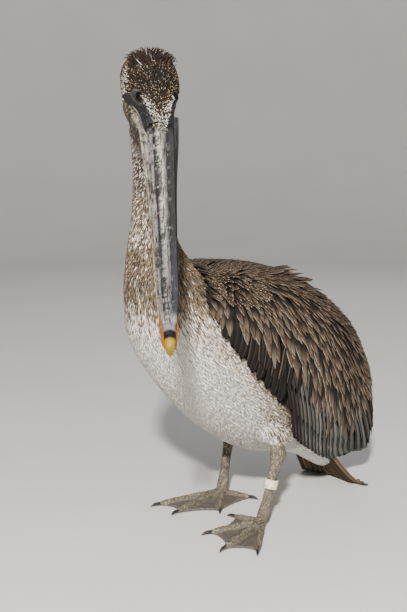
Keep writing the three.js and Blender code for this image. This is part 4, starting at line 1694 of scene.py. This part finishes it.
def covert_marks(count, rng, deep, warm):
    """Brown feathers with pale rims: deep is how dark they are, warm how buff their rims are."""
    inner = mixed(paint("574b40"), paint("402f22"), rng.random(count))
    inner = mixed(inner, DARK, np.clip(deep + 0.6 * (rng.random(count) - 0.5), 0, 1))
    rim = mixed(RIM_GREY, RIM_BUFF, np.clip(warm + 0.6 * (rng.random(count) - 0.5), 0, 1))
    edge = mixed(rim * 0.8, BROWN, rng.random(count) ** 1.5)
    return {"inner": inner, "edge": edge}


# The lowest coverts' tips on the folded wing: shares from breast to tip, and degrees from the side.
COVERT_SHARES = [0.06, 0.13, 0.18, 0.235, 0.3, 0.355, 0.41, 0.49, 0.6, 0.69, 0.74, 0.8, 0.9]
COVERT_TIPS = [3, 4, 2.5, 2, 1, 0.5, 0, -8, -14.5, -8.5, 12, 36, 60]
COVERT_STATIONS = np.array([0, 0.3, 0.55, 0.75, 0.88, 0.96, 1.0])


def covert_rows(coat, side, rng):
    """Rows of coverts from the lowest up, each row over the roots of the one below."""
    # Each row: length, half width, spacing, depth of colour and warmth of rim.
    rows = [
        (50, 6.6, 8.4, 0.1, 0.1), (44, 5.6, 7.2, 0.2, 0.25), (39, 4.8, 6.2, 0.25, 0.4),
        (35, 4.1, 5.2, 0.3, 0.5), (32, 3.6, 4.7, 0.35, 0.6), (29, 3.3, 4.3, 0.4, 0.65),
        (27, 3.1, 4.0, 0.45, 0.7), (25, 2.9, 3.8, 0.5, 0.75), (24, 2.7, 3.6, 0.55, 0.8),
        (22, 2.6, 3.5, 0.6, 0.8), (20, 2.5, 3.4, 0.6, 0.8),
    ]
    for k, (length, half, gap, deep, warm) in enumerate(rows):
        count = int(0.78 * WING_RUN / MM / gap)
        share = np.linspace(0.065, 0.845, count) + rng.normal(0, 0.2, count) * gap * MM / WING_RUN
        lowest = np.interp(share, COVERT_SHARES, COVERT_TIPS) + 25
        share = share[lowest < 66]
        lowest = lowest[lowest < 66]
        count = len(share)
        angles = lowest + (70 - lowest) * (k / 10) ** 0.9 + rng.normal(0, 1.6, count)
        young = rise(share, 0.2, 0.07)
        late = rise(share, 0.36, 0.55)
        roots, normals = WING.at(share, angles)
        lengths = length * rng.uniform(0.8, 1.15, count) * (1 - 0.35 * young) * (1 + 0.15 * late)
        halves = half * rng.uniform(0.85, 1.1, count) * (1 - 0.2 * young) * (1 - 0.22 * late)
        lifts = 0.3 * k + np.array([-2.4, -0.8, 0.5, 1.5, 2.3, 2.9, 3.2])
        lines, tops = laid(
            WING, roots, normals, covert_flow, lengths, lifts, rng, 0.09, stations=COVERT_STATIONS
        )
        lines, tops = on_side(side, lines, tops)
        coat.add(
            lines, tops, halves, leaf if k < 5 else lance, covert_marks(count, rng, deep, warm),
            wing_chart(share, angles), BROAD_SECTION, thickness=0.7, camber=0.35, shaft=0.3,
            stations=COVERT_STATIONS, tipped=0.93, shaded=0.95,
        )


def mantle(coat, side, rng):
    """Scapulars along the back and the small feathers of the shoulder."""
    patches = [
        (0.05, 0.62, 60, 90, 5.2, 32, 3.8, 0.6, 0.5), (0.045, 0.22, 29, 70, 3.5, 12, 2.6, 0.95, 0.4)
    ]
    for outset, last, low, high, gap, length, half, deep, shaded in patches:
        down = int((high - low) * 1.9 / gap)
        for k in range(down):
            angle = low + (high - low) * (k + 0.5) / down
            first = max(outset, np.interp(angle, [0, 45, 60], [0.105, 0.068, 0.05]))
            count = int((last - first) * WING_RUN / MM / (gap * 1.5))
            share = np.linspace(first, last, count) + (k % 2) * 0.5 * (last - first) / count
            share = share + rng.normal(0, 0.004, count)
            angles = angle + rng.normal(0, 1.2, count)
            roots, normals = WING.at(share, angles)
            size = np.maximum(0.45 + 0.75 * rise(share, 0.06, 0.32), 0.8 if last < 0.3 else 0)
            lengths = length * size * rng.uniform(0.8, 1.2, count)
            lifts = 2.6 + np.array([-3.2, -1.0, 0.4, 1.4, 2.2])
            lines, tops = laid(WING, roots, normals, covert_flow, lengths, lifts, rng, 0.12)
            lines, tops = on_side(side, lines, tops)
            coat.add(
                lines, tops, half * size * rng.uniform(0.8, 1.15, count), lance,
                covert_marks(count, rng, deep, 0.8), wing_chart(share, angles),
                BROAD_SECTION, thickness=0.6, shaft=0.2, tipped=0.8, shaded=shaded,
            )


def raised(coat, side, rng):
    """Scapulars on the back that stand away from it, in two loose bunches."""
    count = 22
    share = np.where(np.arange(count) % 2 > 0, 0.3, 0.39) + rng.normal(0, 0.022, count)
    angles = rng.uniform(62, 76, count)
    roots, normals = WING.at(share, angles)
    lengths = rng.uniform(22, 34, count)
    lifts = np.array([-1.0, 3.0, 7.0, 10.6, 13.0])
    lines, tops = laid(WING, roots, normals, covert_flow, lengths, lifts, rng, 0.2)
    lines, tops = on_side(side, lines, tops)
    coat.add(
        lines, tops, rng.uniform(3.2, 4.6, count), lance, covert_marks(count, rng, 0.5, 0.6),
        wing_chart(share, angles), BROAD_SECTION, thickness=0.6, shaft=0.4, tipped=0.9, shaded=0.5,
    )


BLADE_STEPS = 12


def fan(coat, side, rng, roots, tips, count, half, marks, form=blade, lift=(-3.0, -1.2), split=0.0,
        shaft=0.4):
    """Blades spread from a line of roots to a line of tips, each given as (share, angle) places."""
    across = (np.arange(count) + 0.5) / count
    stops = np.linspace(0, 1, len(roots))
    start = np.column_stack([np.interp(across, stops, [r[k] for r in roots]) for k in (0, 1)])
    stops = np.linspace(0, 1, len(tips))
    end = np.column_stack([np.interp(across, stops, [t[k] for t in tips]) for k in (0, 1)])
    end[:, 0] += rng.normal(0, 0.004, count)
    along = np.linspace(0, 1, BLADE_STEPS)
    share = start[:, :1] + (end - start)[:, :1] * along
    angle = start[:, 1:] + (end - start)[:, 1:] * along
    points, normals = WING.at(share, angle)
    order = 1.1 * across[:, None] - 0.5
    lifts = np.linspace(*lift, BLADE_STEPS) + order
    lines = points + normals * (lifts * MM)[..., None]
    lines, normals = on_side(side, lines, normals)
    hand = 1.0 if side == "left" else -1.0
    coat.add(
        lines, normals, np.full(count, float(half)), form, marks, wing_chart(*start.T),
        BROAD_SECTION, thickness=0.6, camber=0.08, tilt=1.7 * hand, shaft=shaft, split=split * hand,
        tipped=0.985,
    )


def flat_marks(count, rng, inner, edge, vary=0.15):
    """One inner and one rim colour for all the feathers, each a little lighter or darker."""
    shade = 1 + vary * rng.normal(size=(count, 1))
    return {"inner": np.clip(inner * shade, 0, 1), "edge": np.clip(edge * shade, 0, 1)}


def dress_wing(side):
    rng = np.random.default_rng(40 if side == "left" else 41)
    flight = Coat()
    count = 22
    silver = flat_marks(count, rng, BLACK * 0.9, SILVER * 0.36, 0.25)
    dusky = np.clip(1.3 - 0.3 * np.arange(count), 0, 0.85) + 0.75 * rise(np.arange(count), 15, 19)
    silver["edge"] = mixed(silver["edge"], DARK * 0.9, np.clip(dusky, 0, 1))
    fan(
        flight, side, rng,
        [(0.28, 12), (0.34, 11), (0.4, 11), (0.47, 10), (0.54, 8), (0.58, 14), (0.59, 34), (0.6, 58),
         (0.63, 88)],
        [(0.57, -37), (0.64, -40), (0.71, -42), (0.8, -46), (0.9, -50), (0.97, -38), (1.0, -10),
         (1.0, 26), (1.0, 70)],
        count, 9.6, silver, split=0.9,
    )
    count = 8
    fan(
        flight, side, rng, [(0.48, 44), (0.5, 68), (0.52, 90)],
        [(0.97, 0), (0.97, 50), (0.93, 90)], count, 11, flat_marks(count, rng, BLACK, DARK * 0.9),
        lift=(-2.6, -1.4),
    )
    count = 10
    black = flat_marks(count, rng, BLACK * 0.7, DARK * 0.8)
    rimmed = (rng.random(count) < 0.3) * 0.12
    black["edge"] = mixed(black["edge"], RIM_BUFF * 0.6, rimmed)
    fan(
        flight, side, rng, [(0.1, 24), (0.17, 21), (0.24, 18), (0.31, 15)],
        [(0.13, -2), (0.2, -10), (0.29, -17), (0.41, -22)], count, 8.5, black, rounded,
        (-2.0, -0.8), shaft=0.1,
    )
    count = 7
    dark = flat_marks(count, rng, BLACK, RIM_BUFF * 0.17, 0.5)
    fan(
        flight, side, rng, [(0.19, 22), (0.27, 20), (0.35, 20), (0.44, 18)],
        [(0.235, -5), (0.3, -11), (0.38, -9), (0.5, -10)], count, 6.5, dark, rounded,
        (-1.6, 0.2), shaft=0.2,
    )
    flight.piece(f"{side}_flight_feathers", PLUMAGE, "plumage_brown", [f"wing_{side}_flight"])
    coverts = Coat()
    covert_rows(coverts, side, rng)
    mantle(coverts, side, rng)
    raised(coverts, side, rng)
    coverts.piece(f"{side}_coverts", PLUMAGE, "plumage_brown")


for side in ("left", "right"):
    dress_wing(side)

# ---- Tail -----------------------------------------------------------------------------------------

TAIL_WAY = np.array([(-108, 100), (-140, 58), (-168, 20), (-184, 3.5), (-204, 1.2)], float)
TAIL_FEATHERS = 11


def on_tail(share, across, lift):
    """A place on the tail's fan: share from root to end, across from -1 to 1, and lift in mm."""
    stops = np.linspace(0, 1, len(TAIL_WAY))
    way = flowing(stops, TAIL_WAY, share)
    ahead = flowing(stops, TAIL_WAY, np.clip(share + 0.01, 0, 1))
    behind = flowing(stops, TAIL_WAY, np.clip(share - 0.01, 0, 1))
    run = unit(ahead - behind)
    half = 20 + 38 * share
    arch = -9 * (1 - np.minimum(1, share * 1.25)) * across**2
    rise_by = lift + arch
    forward = way[..., 0] + run[..., 1] * rise_by
    height = np.maximum(way[..., 1] - run[..., 0] * rise_by, 0.5)
    left = half * across
    spot = np.stack([MIDLINE + left * MM, FEET_LINE - forward * MM, height * MM], axis=-1)
    upward = run[..., 1:] * FORWARD - run[..., :1] * UP
    return spot, unit(upward)


def dress_tail():
    rng = np.random.default_rng(70)
    across = (np.arange(TAIL_FEATHERS) + 0.5) / TAIL_FEATHERS * 2 - 1
    steps = 16
    reach = 0.84 + 0.12 * (1 - across**2) + 0.035 + rng.normal(0, 0.006, TAIL_FEATHERS)
    share = reach[:, None] * np.linspace(0.06, 1, steps)
    lines, normals = on_tail(share, across[:, None], (2.2 - 3.4 * np.abs(across))[:, None])
    coat = Coat()
    shade = 1 + 0.12 * rng.normal(size=(TAIL_FEATHERS, 1))
    marks = {"inner": paint("45382c") * shade, "edge": mixed(BROWN, BUFF, rng.random(TAIL_FEATHERS))}
    spots = np.column_stack([0.1 + 0.8 * (across + 1) / 2, np.full(TAIL_FEATHERS, 0.5)])
    coat.add(lines, normals, np.full(TAIL_FEATHERS, 8.6), blade, marks, spots, BROAD_SECTION,
             thickness=0.7, camber=0.1, shaft=1.0, tilt=0.7)
    coat.piece("tail_feathers", PLUMAGE, "plumage_brown", ["tail"])


dress_tail()

REAR = with_more(body, arrays_of(NODES["tail"].data))


def dress_rear():
    """Long soft white feathers from the vent over the root of the tail."""
    rng = np.random.default_rng(71)

    def below(points):
        _, front, height = on_bird(points)
        _, angle = flank_measures(points)
        return (front < -62) & (angle < 20) & (height < 120)

    roots, normals = body.scatter(steady(4.2), below, rng)
    under = normals[:, 2] < 0.1
    roots = roots[under]
    normals = normals[under]
    count = len(roots)
    front = on_bird(roots)[1]
    lengths = np.interp(front, [-160, -120, -62], [20, 30, 24]) * rng.uniform(0.8, 1.15, count)
    lines, tops = laid(REAR, roots, normals, body_flow, lengths, [-0.6, 2.4, 4.2, 5.4, 6.0, 6.2],
                       rng, 0.08)
    coat = Coat()
    inner = mixed(WHITE, GREY, 0.25 * rng.random(count))
    marks = {"inner": inner, "edge": mixed(WHITE, CREAM, 0.4 * rng.random(count))}
    coat.add(lines, tops, 3.2 * rng.uniform(0.8, 1.2, count), lance, marks, body_chart(roots),
             SLIM_SECTION, thickness=0.5)
    coat.piece("undertail_feathers", PLUMAGE, "plumage_white")


dress_rear()

# ---- Camera, light and floor ----------------------------------------------------------------------

LENS = 66.47
SENSOR = 36
LOOK_DOWN = 8.36
CAMERA_PLACE = place(923.7, 989.7, 454)
LAMP_AIM = Vector((0, 0, 0.28))
SKY_COLOUR = (0.8, 0.84, 0.9, 1)
SKY_LIGHT = 0.38
WALL_START = 3.0
WALL_CURVE = 1.5
FLOOR_SINK = 0.0004

camera = bpy.data.objects.new("camera", bpy.data.cameras.new("camera"))
camera.data.lens = LENS
camera.data.sensor_width = SENSOR
camera.location = CAMERA_PLACE
camera.rotation_euler = (math.radians(90 - LOOK_DOWN), 0, math.radians(45))
bpy.context.scene.collection.objects.link(camera)
bpy.context.scene.camera = camera


def lamp(name, where, size, power, colour):
    """A soft square lamp that faces the bird."""
    data = bpy.data.lights.new(name, "AREA")
    data.size = size
    data.energy = power
    data.color = colour
    made = bpy.data.objects.new(name, data)
    made.location = where
    away = made.location - LAMP_AIM
    made.rotation_euler = away.to_track_quat("Z", "Y").to_euler()
    bpy.context.scene.collection.objects.link(made)


lamp("key", (1.5, -1.8, 1.42), 0.14, 215, (1.0, 0.96, 0.9))
lamp("fill", (2.2, 0.4, 1.2), 1.8, 9, (0.93, 0.96, 1.0))
lamp("back", (-1.2, 1.8, 1.9), 1.2, 12, (0.95, 0.97, 1.0))

world = bpy.data.worlds.new("studio")
world.use_nodes = True
sky = world.node_tree.nodes["Background"].inputs
sky["Color"].default_value = SKY_COLOUR
sky["Strength"].default_value = SKY_LIGHT
bpy.context.scene.world = world


def studio_floor():
    """A pale floor that runs up into a pale wall all round."""
    finish = Finish("studio_floor", roughness=0.8)
    shade = finish.noise(3, 2)
    finish.show("Base Color", finish.blend(paint("c6c4c0"), paint("cecdca"), shade))
    rings = [(r, 0.0) for r in (0.5, 1.5, WALL_START)]
    for a in np.linspace(0.2, 1.57, 8):
        rings.append((WALL_START + WALL_CURVE * math.sin(a), WALL_CURVE - WALL_CURVE * math.cos(a)))
    rings.append((4.5, 4.5))
    around = 64
    build = bmesh.new()
    rows = []
    for radius, height in rings:
        row = []
        for k in range(around):
            a = 2 * math.pi * k / around
            spot = (radius * math.cos(a), radius * math.sin(a), height - FLOOR_SINK)
            row.append(build.verts.new(spot))
        rows.append(row)
    build.faces.new(rows[0])
    for low, high in zip(rows, rows[1:]):
        for k in range(around):
            j = (k + 1) % around
            build.faces.new((low[k], high[k], high[j], low[j]))
    mesh = bpy.data.meshes.new("studio_floor")
    build.to_mesh(mesh)
    build.free()
    for face in mesh.polygons:
        face.use_smooth = face.center.z > 0.001
    mesh.materials.append(finish.material)
    floor = bpy.data.objects.new("studio_floor", mesh)
    bpy.context.scene.collection.objects.link(floor)


studio_floor()
